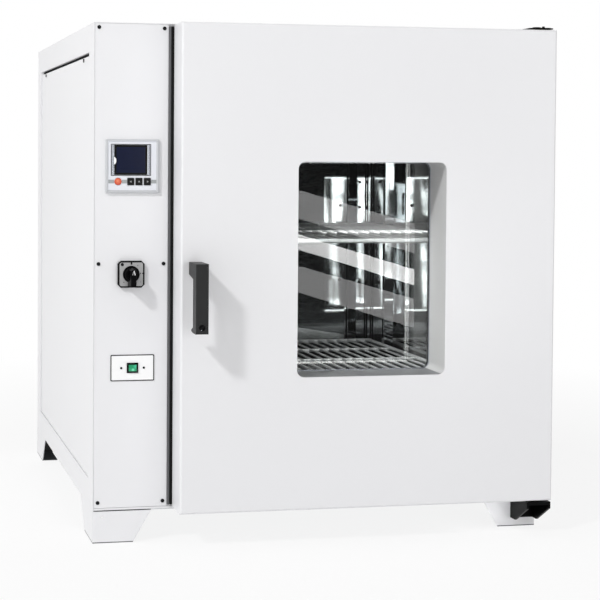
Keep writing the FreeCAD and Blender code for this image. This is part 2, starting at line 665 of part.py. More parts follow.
def baffle_screw_places():
    inset = BAFFLE_FLANGE
    zs = [BAFFLE_BOTTOM + (BAFFLE_TOP - BAFFLE_BOTTOM) * (2 * step + 1) / (2 * BAFFLE_SCREWS)
          for step in range(BAFFLE_SCREWS)]
    return [(x, z) for x in (BAFFLE_LEFT + inset, BAFFLE_RIGHT - inset) for z in zs]


def make_air_baffle():
    """Shallow stainless pan in front of the fan: intake slots in its face, hot-air slots in its
    two sides."""
    shell = box(BAFFLE_LEFT, BAFFLE_RIGHT, BAFFLE_FRONT, CHAMBER_BACK, BAFFLE_BOTTOM, BAFFLE_TOP)
    hollow = box(BAFFLE_LEFT + LINER, BAFFLE_RIGHT - LINER, BAFFLE_FRONT + LINER,
                 CHAMBER_BACK + 1, BAFFLE_BOTTOM + LINER, BAFFLE_TOP - LINER)
    cuts = [hollow] + intake_boxes(BAFFLE_FRONT - 1, BAFFLE_FRONT + LINER + 1)
    middle = (BAFFLE_FRONT + CHAMBER_BACK) / 2
    for step in range(OUTLET_SLOTS):
        z = CHAMBER_MIDDLE_Z + (step - (OUTLET_SLOTS - 1) / 2) * OUTLET_SLOT_PITCH
        for x in (BAFFLE_LEFT, BAFFLE_RIGHT - LINER):
            cuts.append(box(x - 1, x + LINER + 1, middle - OUTLET_SLOT_WIDTH / 2,
                            middle + OUTLET_SLOT_WIDTH / 2,
                            z - OUTLET_SLOT_LENGTH / 2, z + OUTLET_SLOT_LENGTH / 2))
    for x, z in baffle_screw_places():
        cuts.append(rod(SCREW_SHANK_RADIUS, (x, BAFFLE_FRONT - 1, z), (x, BAFFLE_FRONT + LINER + 1, z)))
    return shell.cut(cuts)


def make_baffle_screws():
    """Dome-head screws through the baffle's face, each with the stand-off sleeve behind it."""
    screws = []
    for x, z in baffle_screw_places():
        screw = screw_y(x, z, BAFFLE_FRONT, BAFFLE_SCREW_RADIUS, BAFFLE_SCREW_HEIGHT, LINER)
        sleeve = rod(BAFFLE_SCREW_RADIUS, (x, BAFFLE_FRONT + LINER, z), (x, CHAMBER_BACK, z))
        screws.append(screw.fuse(sleeve))
    return Part.makeCompound(screws)


def make_fan_impeller():
    """Radial impeller: back disc, hub and straight blades."""
    x, z = CHAMBER_MIDDLE_X, CHAMBER_MIDDLE_Z
    back = CHAMBER_BACK - IMPELLER_BACK_GAP
    front = back - IMPELLER_WIDTH
    disc = rod(IMPELLER_RADIUS, (x, back - BLADE_THICKNESS, z), (x, back, z))
    hub = rod(IMPELLER_HUB_RADIUS, (x, front, z), (x, back, z))
    blades = []
    for step in range(IMPELLER_BLADES):
        blade = box(x + BLADE_INNER_RADIUS, x + IMPELLER_RADIUS - BLADE_THICKNESS, front,
                    back - BLADE_THICKNESS, z - BLADE_THICKNESS / 2, z + BLADE_THICKNESS / 2)
        blade.rotate(Vector(x, 0, z), Vector(0, 1, 0), step * 360.0 / IMPELLER_BLADES)
        blades.append(blade)
    bore = rod(SHAFT_RADIUS, (x, front - 1, z), (x, back + 1, z))
    return disc.fuse([hub] + blades).cut(bore)


def make_fan_shaft():
    x, z = CHAMBER_MIDDLE_X, CHAMBER_MIDDLE_Z
    front = CHAMBER_BACK - IMPELLER_BACK_GAP - IMPELLER_WIDTH
    rear = DEPTH + MOTOR_BOSS_LENGTH + MOTOR_LENGTH - SHEET
    return rod(SHAFT_RADIUS, (x, front, z), (x, rear, z))


def make_fan_motor():
    """Round finned motor with a bearing boss that seats on the rear panel."""
    x, z = CHAMBER_MIDDLE_X, CHAMBER_MIDDLE_Z
    case_front = DEPTH + MOTOR_BOSS_LENGTH
    case_rear = case_front + MOTOR_LENGTH
    boss = rod(MOTOR_BOSS_RADIUS, (x, DEPTH, z), (x, case_front, z))
    case = rod(MOTOR_RADIUS, (x, case_front, z), (x, case_rear, z))
    fins = []
    for step in range(MOTOR_FINS):
        fin = box(x + MOTOR_RADIUS - 1, x + MOTOR_RADIUS + MOTOR_FIN_HEIGHT, case_front + MOTOR_FIN_HEIGHT,
                  case_rear - MOTOR_FIN_HEIGHT, z - 1, z + 1)
        fin.rotate(Vector(x, 0, z), Vector(0, 1, 0), step * 360.0 / MOTOR_FINS)
        fins.append(fin)
    bore = rod(SHAFT_RADIUS + SHAFT_RUNNING_GAP, (x, DEPTH - 1, z), (x, case_rear - SHEET, z))
    return boss.fuse([case] + fins).cut(bore)


def make_motor_cover():
    """Vented box over the motor, on a flange that seats on the rear panel."""
    x, z = CHAMBER_MIDDLE_X, CHAMBER_MIDDLE_Z
    half = MOTOR_COVER_SIDE / 2
    outer = half + MOTOR_COVER_FLANGE
    shell = box(x - half, x + half, DEPTH, DEPTH + MOTOR_COVER_DEPTH, z - half, z + half)
    flange = box(x - outer, x + outer, DEPTH, DEPTH + SHEET, z - outer, z + outer)
    hollow = box(x - half + SHEET, x + half - SHEET, DEPTH - 1, DEPTH + MOTOR_COVER_DEPTH - SHEET,
                 z - half + SHEET, z + half - SHEET)
    cuts = [hollow]
    pitch = MOTOR_COVER_SIDE / (MOTOR_COVER_SLOTS + 1)
    for step in range(MOTOR_COVER_SLOTS):
        slot_z = z - half + (step + 1) * pitch
        cuts.append(box(x - half * 0.7, x + half * 0.7, DEPTH + MOTOR_COVER_DEPTH - SHEET - 1,
                        DEPTH + MOTOR_COVER_DEPTH + 1, slot_z - LOUVRE_HEIGHT / 2,
                        slot_z + LOUVRE_HEIGHT / 2))
    return join([shell, flange]).cut(cuts)


def heater_leg_places():
    return (CHAMBER_MIDDLE_X - HEATER_LEG_SPREAD / 2, CHAMBER_MIDDLE_X + HEATER_LEG_SPREAD / 2)


def heater_leg_z():
    return CHAMBER_MIDDLE_Z - math.sqrt(HEATER_RING_RADIUS ** 2 - (HEATER_LEG_SPREAD / 2) ** 2)


def heater_ring_y():
    return CHAMBER_BACK - IMPELLER_BACK_GAP - IMPELLER_WIDTH / 2


def heater_leg_end():
    return CHAMBER_BACK + LINER + SEAT + HEATER_COLLAR_RADIUS * 3


def make_heater():
    """Tubular ring around the fan, open at the bottom, with two terminal legs through the rear
    wall and a collar on each."""
    gap = math.asin(HEATER_LEG_SPREAD / 2 / HEATER_RING_RADIUS)
    ring = Part.makeTorus(HEATER_RING_RADIUS, HEATER_ROD_RADIUS, Vector(0, 0, 0), Vector(0, 0, 1),
                          -180, 180, 360 - 2 * math.degrees(gap))
    ring.rotate(Vector(0, 0, 0), Vector(0, 0, 1), math.degrees(gap) - 90)
    ring.rotate(Vector(0, 0, 0), Vector(1, 0, 0), 90)
    ring.translate(Vector(CHAMBER_MIDDLE_X, heater_ring_y(), CHAMBER_MIDDLE_Z))
    pieces = [ring]
    for x in heater_leg_places():
        z = heater_leg_z()
        knee = Part.makeSphere(HEATER_ROD_RADIUS * 1.02, Vector(x, heater_ring_y(), z))
        leg = rod(HEATER_ROD_RADIUS, (x, heater_ring_y(), z), (x, heater_leg_end(), z))
        collar = rod(HEATER_COLLAR_RADIUS, (x, CHAMBER_BACK + LINER + SEAT, z),
                     (x, heater_leg_end(), z))
        pieces += [knee, leg, collar]
    return pieces[0].fuse(pieces[1:])


def probe_y():
    return BAFFLE_FRONT - 78.0


def probe_z():
    return CHAMBER_ROOF - PROBE_BELOW_ROOF


def make_temperature_probe():
    """Sheathed sensor through the left wall, held by a hexagon collar in the wiring space."""
    start = COLUMN_RIGHT - SHEET * 4
    sheath = rod(PROBE_RADIUS, (start, probe_y(), probe_z()),
                 (CHAMBER_LEFT + PROBE_REACH, probe_y(), probe_z()))
    collar = rod(PROBE_RADIUS * 2.2, (start, probe_y(), probe_z()),
                 (COLUMN_RIGHT - SEAT, probe_y(), probe_z()))
    return sheath.fuse(collar)


def shelf_rails(side):
    """Two uprights against one chamber wall, and an angle ledge on them for each shelf."""
    wall = CHAMBER_LEFT if side < 0 else CHAMBER_RIGHT
    inward = -side
    face = wall + inward * RAIL_THICKNESS
    pieces = []
    for y in (LEDGE_FRONT + RAIL_INSET, LEDGE_BACK - RAIL_INSET - RAIL_WIDTH):
        low, high = sorted((wall, face))
        pieces.append(box(low, high, y, y + RAIL_WIDTH, CHAMBER_FLOOR, CHAMBER_ROOF - RAIL_FOOT))
    for level in SHELF_LEVELS:
        ledge_top = level - 2 * SHELF_FRAME_RADIUS - SEAT
        low, high = sorted((face, wall + inward * LEDGE_WIDTH))
        pieces.append(box(low, high, LEDGE_FRONT, LEDGE_BACK,
                          ledge_top - LINER, ledge_top))
        low, high = sorted((face, face + inward * LINER))
        pieces.append(box(low, high, LEDGE_FRONT, LEDGE_BACK,
                          ledge_top - LEDGE_HEIGHT, ledge_top))
    return join(pieces)


def make_shelf(level):
    """Welded wire shelf: a rod frame, cross rods under it and close wires from front to rear."""
    x0, x1 = CHAMBER_LEFT + SHELF_SIDE_GAP, CHAMBER_RIGHT - SHELF_SIDE_GAP
    y0, y1 = SHELF_FRONT, BAFFLE_FRONT - SHELF_REAR_GAP
    z = level - SHELF_FRAME_RADIUS
    thick = SHELF_FRAME_RADIUS
    bars = []
    for y in (y0 + thick, y1 - thick):
        bars.append(many_sided_bar((x0, y, z), x1 - x0, "x", thick, 8))
    for x in (x0 + thick, x1 - thick):
        bars.append(many_sided_bar((x, y0 + thick, z), y1 - y0 - 2 * thick, "y", thick, 8))
    for step in range(SHELF_CROSS_RODS):
        y = y0 + (y1 - y0) * (step + 1) / (SHELF_CROSS_RODS + 1)
        bars.append(many_sided_bar((x0 + thick, y, z), x1 - x0 - 2 * thick, "x", thick * 0.8, 8))
    count = int((x1 - x0 - 4 * thick) // SHELF_WIRE_PITCH)
    first = (x0 + x1 - count * SHELF_WIRE_PITCH) / 2
    wire_z = level - SHELF_WIRE_RADIUS
    for step in range(count + 1):
        x = first + step * SHELF_WIRE_PITCH
        bars.append(many_sided_bar((x, y0, wire_z), y1 - y0, "y", SHELF_WIRE_RADIUS, 6))
    return bars[0].fuse(bars[1:])


def gasket_box():
    """Inner edges of the door gasket. Its outer edge stands out past the door on the latch side
    and stops short of the pivot on the hinge side, so the turning door clears it."""
    return (DOOR_LEFT - GASKET_OVERHANG + GASKET_WIDTH,
            DOOR_RIGHT - GASKET_HINGE_SETBACK - GASKET_WIDTH,
            DOOR_BOTTOM + GASKET_END_SETBACK + GASKET_WIDTH,
            DOOR_TOP - GASKET_END_SETBACK - GASKET_WIDTH)


def make_door_gasket():
    """Black silicone ring on the front frame; the door closes on it."""
    x0, x1, z0, z1 = gasket_box()
    ring = box(x0 - GASKET_WIDTH, x1 + GASKET_WIDTH, DOOR_BACK + SEAT, FRAME_FRONT,
               z0 - GASKET_WIDTH, z1 + GASKET_WIDTH)
    front = [edge for edge in ring.Edges if edge.BoundBox.YMax < DOOR_BACK + SEAT + 1e-6]
    ring = ring.makeChamfer(GASKET_WIDTH / 5, front)
    return ring.cut(box(x0, x1, DOOR_BACK, FRAME_FRONT + 1, z0, z1))


def keeper_x():
    return SPINDLE_X + LATCH_WIDTH / 2 + 4


def keeper_z():
    return SPINDLE_Z - LATCH_LENGTH / 2


def make_latch_keeper():
    """Angle plate on the front frame beside the latch tongue."""
    x0 = keeper_x()
    z0, z1 = keeper_z() - KEEPER_HEIGHT / 2, keeper_z() + KEEPER_HEIGHT / 2
    plate = box(x0, x0 + KEEPER_WIDTH, FRAME_FRONT - KEEPER_SHEET, FRAME_FRONT, z0, z1)
    lip = box(x0, x0 + KEEPER_SHEET, FRAME_FRONT - KEEPER_LIP, FRAME_FRONT, z0, z1)
    screws = []
    for z in (keeper_z() - KEEPER_HEIGHT / 3, keeper_z() + KEEPER_HEIGHT / 3):
        x = x0 + KEEPER_WIDTH / 2
        screws.append(rod(SCREW_SHANK_RADIUS, (x, FRAME_FRONT - KEEPER_SHEET, z), (x, FRAME_BACK, z)))
        screws.append(rod(SCREW_HEAD_RADIUS, (x, FRAME_FRONT - KEEPER_SHEET - 1, z),
                          (x, FRAME_FRONT - KEEPER_SHEET, z)))
    return join([plate, lip] + screws)


def window_plate(y0, y1, grow=0.0):
    return rounded_plate(WINDOW_X0 - grow, WINDOW_X1 + grow, WINDOW_Z0 - grow, WINDOW_Z1 + grow,
                         WINDOW_CORNER + grow, y0, y1)


def make_door_outer_skin():
    """Painted pan of the door: rounded front edges, window opening, and holes for the hinge
    bushes and the handle spindle."""
    pan = box(DOOR_LEFT, DOOR_RIGHT, DOOR_FRONT, DOOR_BACK, DOOR_BOTTOM, DOOR_TOP)
    front = [edge for edge in pan.Edges if edge.BoundBox.YMax < DOOR_FRONT + 1e-6]
    pan = pan.makeFillet(DOOR_EDGE_RADIUS, front)
    hollow = box(DOOR_LEFT + SHEET, DOOR_RIGHT - SHEET, DOOR_FRONT + SHEET, DOOR_BACK + 1,
                 DOOR_BOTTOM + SHEET, DOOR_TOP - SHEET)
    inner = [edge for edge in hollow.Edges if edge.BoundBox.YMax < DOOR_FRONT + SHEET + 1e-6]
    hollow = hollow.makeFillet(DOOR_EDGE_RADIUS - SHEET, inner)
    cuts = [hollow, window_plate(DOOR_FRONT - 1, DOOR_FRONT + SHEET + 1)]
    cuts.append(rod(SPINDLE_RADIUS + BUSH_WALL, (SPINDLE_X, DOOR_FRONT - 1, SPINDLE_Z),
                    (SPINDLE_X, DOOR_FRONT + SHEET + 1, SPINDLE_Z)))
    for z in (DOOR_BOTTOM - 1, DOOR_TOP - SHEET - 1):
        cuts.append(rod(HINGE_BUSH_RADIUS, (HINGE_X, HINGE_Y, z), (HINGE_X, HINGE_Y, z + SHEET + 2)))
    return pan.cut(cuts)


def make_window_tunnel():
    """Collar that lines the window opening from the skin back to the outer pane."""
    y0, y1 = DOOR_FRONT + SHEET, OUTER_GLASS_FRONT
    return window_plate(y0, y1, SHEET).cut(window_plate(y0 - 1, y1 + 1))


def plug_box(inset):
    return (CHAMBER_LEFT + PLUG_CLEARANCE + inset, CHAMBER_RIGHT - PLUG_CLEARANCE - inset,
            CHAMBER_FLOOR + PLUG_CLEARANCE + inset, CHAMBER_ROOF - PLUG_CLEARANCE - inset)


def make_door_inner_panel():
    """Stainless inner pan of the door, with the raised plug that enters the chamber mouth."""
    inset = SHEET + SEAT
    y0 = DOOR_BACK - LINER
    sheet = box(DOOR_LEFT + inset, DOOR_RIGHT - inset, y0, DOOR_BACK,
                DOOR_BOTTOM + inset, DOOR_TOP - inset)
    px0, px1, pz0, pz1 = plug_box(0)
    plug = box(px0, px1, y0, PLUG_BACK, pz0, pz1)
    hx0, hx1, hz0, hz1 = plug_box(LINER)
    hollow = box(hx0, hx1, y0 - 1, PLUG_INNER, hz0, hz1)
    spindle = rod(SPINDLE_RADIUS + SEAT, (SPINDLE_X, y0 - 1, SPINDLE_Z),
                  (SPINDLE_X, DOOR_BACK + 1, SPINDLE_Z))
    panel = join([sheet, plug])
    return panel.cut([hollow, window_plate(PLUG_INNER - 1, PLUG_BACK + 1), spindle])


def make_door_lagging():
    """Mineral wool that fills the door around the window collar."""
    inset = SHEET + SEAT
    front = DOOR_FRONT + SHEET + SEAT
    rear = DOOR_BACK - LINER - SEAT
    edge = DOOR_EDGE_RADIUS
    core = box(DOOR_LEFT + edge, DOOR_RIGHT - edge, front, rear,
               DOOR_BOTTOM + inset + BUSH_FLANGE, DOOR_TOP - inset - BUSH_FLANGE)
    cuts = [window_plate(front - 1, rear + 1, SHEET + SEAT)]
    cuts.append(rod(SPINDLE_RADIUS + BUSH_WALL + SEAT, (SPINDLE_X, front - 1, SPINDLE_Z),
                    (SPINDLE_X, rear + 1, SPINDLE_Z)))
    for z in (DOOR_BOTTOM, DOOR_TOP - PIN_REACH - BUSH_WALL - SEAT):
        cuts.append(rod(HINGE_BUSH_RADIUS + SEAT, (HINGE_X, HINGE_Y, z),
                        (HINGE_X, HINGE_Y, z + PIN_REACH + BUSH_WALL + SEAT)))
    return core.cut(cuts)


def make_glass_panes():
    lap = GLASS_LAP
    return {"door_outer_glass": window_plate(OUTER_GLASS_FRONT, OUTER_GLASS_BACK, lap),
            "door_inner_glass": window_plate(INNER_GLASS_FRONT, INNER_GLASS_BACK, lap)}


def make_glass_seal():
    """Black silicone ring in the plug that grips the edges of both panes."""
    y0 = OUTER_GLASS_FRONT
    ring = window_plate(y0, PLUG_INNER, GLASS_SEAL_WIDTH)
    ring = ring.cut(window_plate(y0 - 1, PLUG_INNER + 1))
    panes = [window_plate(OUTER_GLASS_FRONT - 1, OUTER_GLASS_BACK, GLASS_LAP),
             window_plate(INNER_GLASS_FRONT, INNER_GLASS_BACK + 1, GLASS_LAP)]
    return ring.cut(panes)


def make_glass_frame():
    """Stainless clamping frame on the chamber side of the inner pane."""
    y0, y1 = PLUG_BACK, PLUG_BACK + LINER
    return window_plate(y0, y1, GLASS_FRAME_WIDTH).cut(window_plate(y0 - 1, y1 + 1))


def make_handle_bush():
    """Flanged sleeve that carries the handle spindle through the door."""
    wall = SPINDLE_RADIUS + BUSH_WALL
    sleeve = rod(wall, (SPINDLE_X, DOOR_FRONT, SPINDLE_Z),
                 (SPINDLE_X, DOOR_BACK - LINER - SEAT, SPINDLE_Z))
    flange = rod(wall, (SPINDLE_X, DOOR_FRONT - BUSH_FLANGE, SPINDLE_Z),
                 (SPINDLE_X, DOOR_FRONT, SPINDLE_Z))
    bore = rod(SPINDLE_RADIUS + SHAFT_RUNNING_GAP, (SPINDLE_X, DOOR_FRONT - BUSH_FLANGE - 1, SPINDLE_Z),
               (SPINDLE_X, DOOR_BACK, SPINDLE_Z))
    return sleeve.fuse(flange).cut(bore).removeSplitter()


def make_door_handle():
    """Moulded lever handle: a neck at the top that slopes down below, a bar hanging from it with
    room for fingers behind, and a hooked nib at the bar's lower end."""
    neck_back = DOOR_FRONT - BUSH_FLANGE - SEAT
    bar_back = HANDLE_FRONT + HANDLE_BAR_DEPTH
    top, bottom = HANDLE_TOP_Z, HANDLE_TOP_Z - HANDLE_LENGTH
    neck_low = top - HANDLE_NECK_HEIGHT
    nib_back = bar_back + HANDLE_NIB_DEPTH
    x = HANDLE_X0
    outline = [(x, neck_back, top), (x, neck_back, neck_low),
               (x, bar_back, neck_low - HANDLE_NECK_SLOPE),
               (x, bar_back, bottom + HANDLE_NIB_HEIGHT),
               (x, nib_back, bottom + HANDLE_NIB_HEIGHT * 0.5),
               (x, nib_back, bottom + HANDLE_NIB_HEIGHT * 0.2), (x, bar_back, bottom),
               (x, HANDLE_FRONT, bottom), (x, HANDLE_FRONT, top)]
    handle = prism(outline, (HANDLE_WIDTH, 0, 0))
    front = [edge for edge in handle.Edges if edge.BoundBox.YMax < HANDLE_FRONT + 1e-6]
    handle = handle.makeFillet(HANDLE_EDGE, front)
    lock_z = bottom + HANDLE_WIDTH / 2
    recess = rod(HANDLE_LOCK_RADIUS, (SPINDLE_X, HANDLE_FRONT - 1, lock_z),
                 (SPINDLE_X, HANDLE_FRONT + 1, lock_z))
    socket = rod(SPINDLE_RADIUS, (SPINDLE_X, bar_back, SPINDLE_Z), (SPINDLE_X, neck_back + 1, SPINDLE_Z))
    return handle.cut([recess, socket])


def make_latch_spindle():
    """Spindle through the door with the latch tongue on its rear end."""
    start = HANDLE_FRONT + HANDLE_BAR_DEPTH
    tongue_rear = DOOR_BACK + SEAT + LATCH_THICKNESS
    spindle = rod(SPINDLE_RADIUS, (SPINDLE_X, start, SPINDLE_Z), (SPINDLE_X, tongue_rear, SPINDLE_Z))
    half = LATCH_WIDTH / 2
    y0 = DOOR_BACK + SEAT
    head = rod(half, (SPINDLE_X, y0, SPINDLE_Z), (SPINDLE_X, tongue_rear, SPINDLE_Z))
    tongue = box(SPINDLE_X - half, SPINDLE_X + half, y0, tongue_rear,
                 SPINDLE_Z - LATCH_LENGTH, SPINDLE_Z)
    return spindle.fuse([head, tongue]).removeSplitter()


def hinge_plate_x():
    return HINGE_X - HINGE_WIDTH / 2, HINGE_X + HINGE_WIDTH / 2


def lower_hinge_top():
    return DOOR_BOTTOM - BUSH_FLANGE - SEAT


def make_lower_hinge_bracket():
    """Gusseted angle bracket bolted to the right front leg, under the door."""
    x0, x1 = hinge_plate_x()
    top = lower_hinge_top()
    under = top - HINGE_PLATE
    rear = -SEAT
    plate = box(x0, x1, -HINGE_REACH, rear, under, top)
    back = box(x0, x1, rear - HINGE_GUSSET, rear, under - HINGE_DROP, under)
    pieces = [plate, back]
    for x in (x0, x1 - HINGE_GUSSET):
        corner = rear - HINGE_GUSSET
        foot = under - HINGE_DROP
        outline = [(x, corner, foot), (x, corner, under), (x, -HINGE_REACH, under),
                   (x, -HINGE_REACH, under - HINGE_PLATE), (x, corner - HINGE_GUSSET_FOOT, foot)]
        pieces.append(prism(outline, (HINGE_GUSSET, 0, 0)))
    hole = rod(PIN_RADIUS, (HINGE_X, HINGE_Y, under - 1), (HINGE_X, HINGE_Y, top + 1))
    return join(pieces).cut(hole)


def make_upper_hinge_bracket():
    """Flat plate on the cabinet top that reaches over the door."""
    x0, x1 = hinge_plate_x()
    plate = box(x0, x1, -TOP_HINGE_REACH, HINGE_TOP_TAIL, HEIGHT, HEIGHT + TOP_HINGE_PLATE)
    corners = [edge for edge in plate.Edges if edge.BoundBox.YMax < -TOP_HINGE_REACH + 1e-6
               and edge.BoundBox.ZLength > TOP_HINGE_PLATE / 2]
    plate = plate.makeChamfer(HINGE_WIDTH / 4, corners)
    hole = rod(PIN_RADIUS, (HINGE_X, HINGE_Y, HEIGHT - 1),
               (HINGE_X, HINGE_Y, HEIGHT + TOP_HINGE_PLATE + 1))
    return plate.cut(hole)


def make_hinge_fasteners():
    """Two pivot pins, one up into the door's foot with its nut below and one down into its head,
    the bolt heads that hold the brackets to the leg and to the cabinet top, and the screw head
    that locks the upper pin."""
    low = lower_hinge_top() - HINGE_PLATE
    lower = rod(PIN_RADIUS, (HINGE_X, HINGE_Y, low - PIN_NUT_HEIGHT),
                (HINGE_X, HINGE_Y, DOOR_BOTTOM + PIN_REACH))
    turns = [math.radians(60 * step) for step in range(6)]
    corners = [(HINGE_X + PIN_NUT_RADIUS * math.cos(t), HINGE_Y + PIN_NUT_RADIUS * math.sin(t),
                low - PIN_NUT_HEIGHT) for t in turns]
    nut = prism(corners, (0, 0, PIN_NUT_HEIGHT))
    high = HEIGHT + TOP_HINGE_PLATE
    upper = rod(PIN_RADIUS, (HINGE_X, HINGE_Y, DOOR_TOP - PIN_REACH), (HINGE_X, HINGE_Y, high))
    head = rod(PIN_RADIUS * 1.5, (HINGE_X, HINGE_Y, high), (HINGE_X, HINGE_Y, high + HINGE_BOLT_HEIGHT))
    lock_x, lock_y = HINGE_X + HINGE_LOCK_SHIFT, -TOP_HINGE_REACH + HINGE_LOCK_SETBACK
    lock = rod(HINGE_LOCK_RADIUS, (lock_x, lock_y, high), (lock_x, lock_y, high + HINGE_BOLT_HEIGHT))
    pieces = [lower.fuse(nut), upper.fuse(head), lock]
    z = low - HINGE_DROP / 2
    seat = -SEAT - HINGE_GUSSET
    for side in (-1, 1):
        x = HINGE_X + side * HINGE_WIDTH / 4
        pieces.append(hexagon_y(x, z, HINGE_BOLT_RADIUS, seat - HINGE_BOLT_HEIGHT, seat))
        y = HINGE_TOP_TAIL / 2
        pieces.append(rod(HINGE_BOLT_RADIUS, (x, y, high), (x, y, high + HINGE_BOLT_HEIGHT)))
    return Part.makeCompound(pieces)


def make_hinge_bushes():
    """Flanged bushes pressed into the door's foot and head; the pins turn in them."""
    bore = PIN_RADIUS + SHAFT_RUNNING_GAP
    depth = PIN_REACH + BUSH_WALL
    flange = HINGE_BUSH_RADIUS + BUSH_WALL
    lower = rod(HINGE_BUSH_RADIUS, (HINGE_X, HINGE_Y, DOOR_BOTTOM), (HINGE_X, HINGE_Y, DOOR_BOTTOM + depth))
    lower = lower.fuse(rod(flange, (HINGE_X, HINGE_Y, DOOR_BOTTOM - BUSH_FLANGE),
                           (HINGE_X, HINGE_Y, DOOR_BOTTOM)))
    lower = lower.cut(rod(bore, (HINGE_X, HINGE_Y, DOOR_BOTTOM - BUSH_FLANGE - 1),
                          (HINGE_X, HINGE_Y, DOOR_BOTTOM + PIN_REACH + SEAT)))
    upper = rod(HINGE_BUSH_RADIUS, (HINGE_X, HINGE_Y, DOOR_TOP - depth), (HINGE_X, HINGE_Y, DOOR_TOP))
    thin = DOOR_TOP_DROP - SEAT
    upper = upper.fuse(rod(flange, (HINGE_X, HINGE_Y, DOOR_TOP), (HINGE_X, HINGE_Y, DOOR_TOP + thin)))
    upper = upper.cut(rod(bore, (HINGE_X, HINGE_Y, DOOR_TOP - PIN_REACH - SEAT),
                          (HINGE_X, HINGE_Y, DOOR_TOP + thin + 1)))
    return Part.makeCompound([lower, upper])


def key_places():
    z = CONTROLLER_CENTRE_Z - KEY_ROW_DROP
    return [(CONTROLLER_X + shift, z) for shift in KEY_CENTRES]


def start_button_place():
    return CONTROLLER_X + START_BUTTON_SHIFT, CONTROLLER_CENTRE_Z - KEY_ROW_DROP


def controller_face():
    return -CONTROLLER_PROUD + CONTROLLER_FACE_DROP


def key_well_depth():
    return KEY_GUIDE + KEY_TRAVEL + SEAT


def screen_box():
    x = CONTROLLER_X + SCREEN_RIGHT_SHIFT
    z = CONTROLLER_CENTRE_Z + SCREEN_UP_SHIFT
    return x - SCREEN_WIDTH / 2, x + SCREEN_WIDTH / 2, z - SCREEN_HEIGHT / 2, z + SCREEN_HEIGHT / 2


def make_controller_housing():
    """Panel instrument: square bezel with a sunk face, screen recess and key wells, and the
    housing behind it."""
    half, body = CONTROLLER_SIDE / 2, CONTROLLER_BODY / 2
    x, z = CONTROLLER_X, CONTROLLER_CENTRE_Z
    bezel = rounded_plate(x - half, x + half, z - half, z + half, 2.0, -CONTROLLER_PROUD, 0)
    front = [edge for edge in bezel.Edges if edge.BoundBox.YMax < -CONTROLLER_PROUD + 1e-6]
    bezel = bezel.makeChamfer(1.2, front)
    case = box(x - body, x + body, 0, CONTROLLER_BODY_DEPTH, z - body, z + body)
    face = half - CONTROLLER_BORDER
    x0, x1, z0, z1 = screen_box()
    sunk = box(x - face, x + face, -CONTROLLER_PROUD - 1, controller_face(), z - face, z + face)
    floor_edges = [edge for edge in sunk.Edges if edge.BoundBox.YMin > controller_face() - 1e-6]
    cuts = [sunk.makeChamfer(CONTROLLER_INNER_BEVEL, floor_edges),
            box(x0, x1, -CONTROLLER_PROUD - 1, controller_face() + SCREEN_RECESS, z0, z1)]
    floor = controller_face() + key_well_depth()
    for key_x, key_z in key_places():
        w, h = KEY_WIDTH / 2 + KEY_GAP, KEY_HEIGHT / 2 + KEY_GAP
        cuts.append(box(key_x - w, key_x + w, -CONTROLLER_PROUD - 1, floor, key_z - h, key_z + h))
    button_x, button_z = start_button_place()
    cuts.append(rod(START_BUTTON_RADIUS + KEY_GAP, (button_x, -CONTROLLER_PROUD - 1, button_z),
                    (button_x, floor, button_z)))
    return join([bezel, case]).cut(cuts)


def make_controller_screen():
    x0, x1, z0, z1 = screen_box()
    front = controller_face() + SCREEN_RECESS / 2
    return box(x0 + SEAT, x1 - SEAT, front, controller_face() + SCREEN_RECESS, z0 + SEAT, z1 - SEAT)


def make_key(place):
    """Square rubber key that slides in its well."""
    x, z = place
    w, h = KEY_WIDTH / 2, KEY_HEIGHT / 2
    front = controller_face() - KEY_PROUD
    key = rounded_plate(x - w, x + w, z - h, z + h, 1.5, front, controller_face() + KEY_GUIDE)
    rim = [edge for edge in key.Edges if edge.BoundBox.YMax < front + 1e-6]
    return key.makeChamfer(0.5, rim)


def make_start_button():
    """Round domed button."""
    x, z = start_button_place()
    front = controller_face() - KEY_PROUD
    button = rod(START_BUTTON_RADIUS, (x, front, z), (x, controller_face() + KEY_GUIDE, z))
    rim = [edge for edge in button.Edges if edge.BoundBox.YMax < front + 1e-6]
    return button.makeFillet(1.2, rim)


def octagon_plate(x, z, half, corner, y0, y1):
    """Square plate facing the front with its four corners cut off."""
    flat = half - corner
    turns = [(half, -flat), (half, flat), (flat, half), (-flat, half),
             (-half, flat), (-half, -flat), (-flat, -half), (flat, -half)]
    return prism([(x + dx, y0, z + dz) for dx, dz in turns], (0, y1 - y0, 0))


def make_cam_switch():
    """Escutcheon of the selector with a sunk label field, and the switch body behind it."""
    half = CAM_SIDE / 2
    plate = octagon_plate(CAM_X, CAM_CENTRE_Z, half, CAM_CORNER, -CAM_PLATE, 0)
    front = [edge for edge in plate.Edges if edge.BoundBox.YMax < -CAM_PLATE + 1e-6]
    plate = plate.makeChamfer(1.0, front)
    body_half = CAM_BODY_SIDE / 2
    body = box(CAM_X - body_half, CAM_X + body_half, 0, CAM_BODY_DEPTH,
               CAM_CENTRE_Z - body_half, CAM_CENTRE_Z + body_half)
    field = octagon_plate(CAM_X, CAM_CENTRE_Z, half - CAM_BORDER, CAM_CORNER * 0.8,
                          -CAM_PLATE - 1, -CAM_PLATE + CAM_LABEL_RECESS)
    bore = rod(CAM_SHAFT_RADIUS + SHAFT_RUNNING_GAP, (CAM_X, -CAM_PLATE - 1, CAM_CENTRE_Z),
               (CAM_X, CAM_BODY_DEPTH / 2, CAM_CENTRE_Z))
    return join([plate, body]).cut([field, bore])


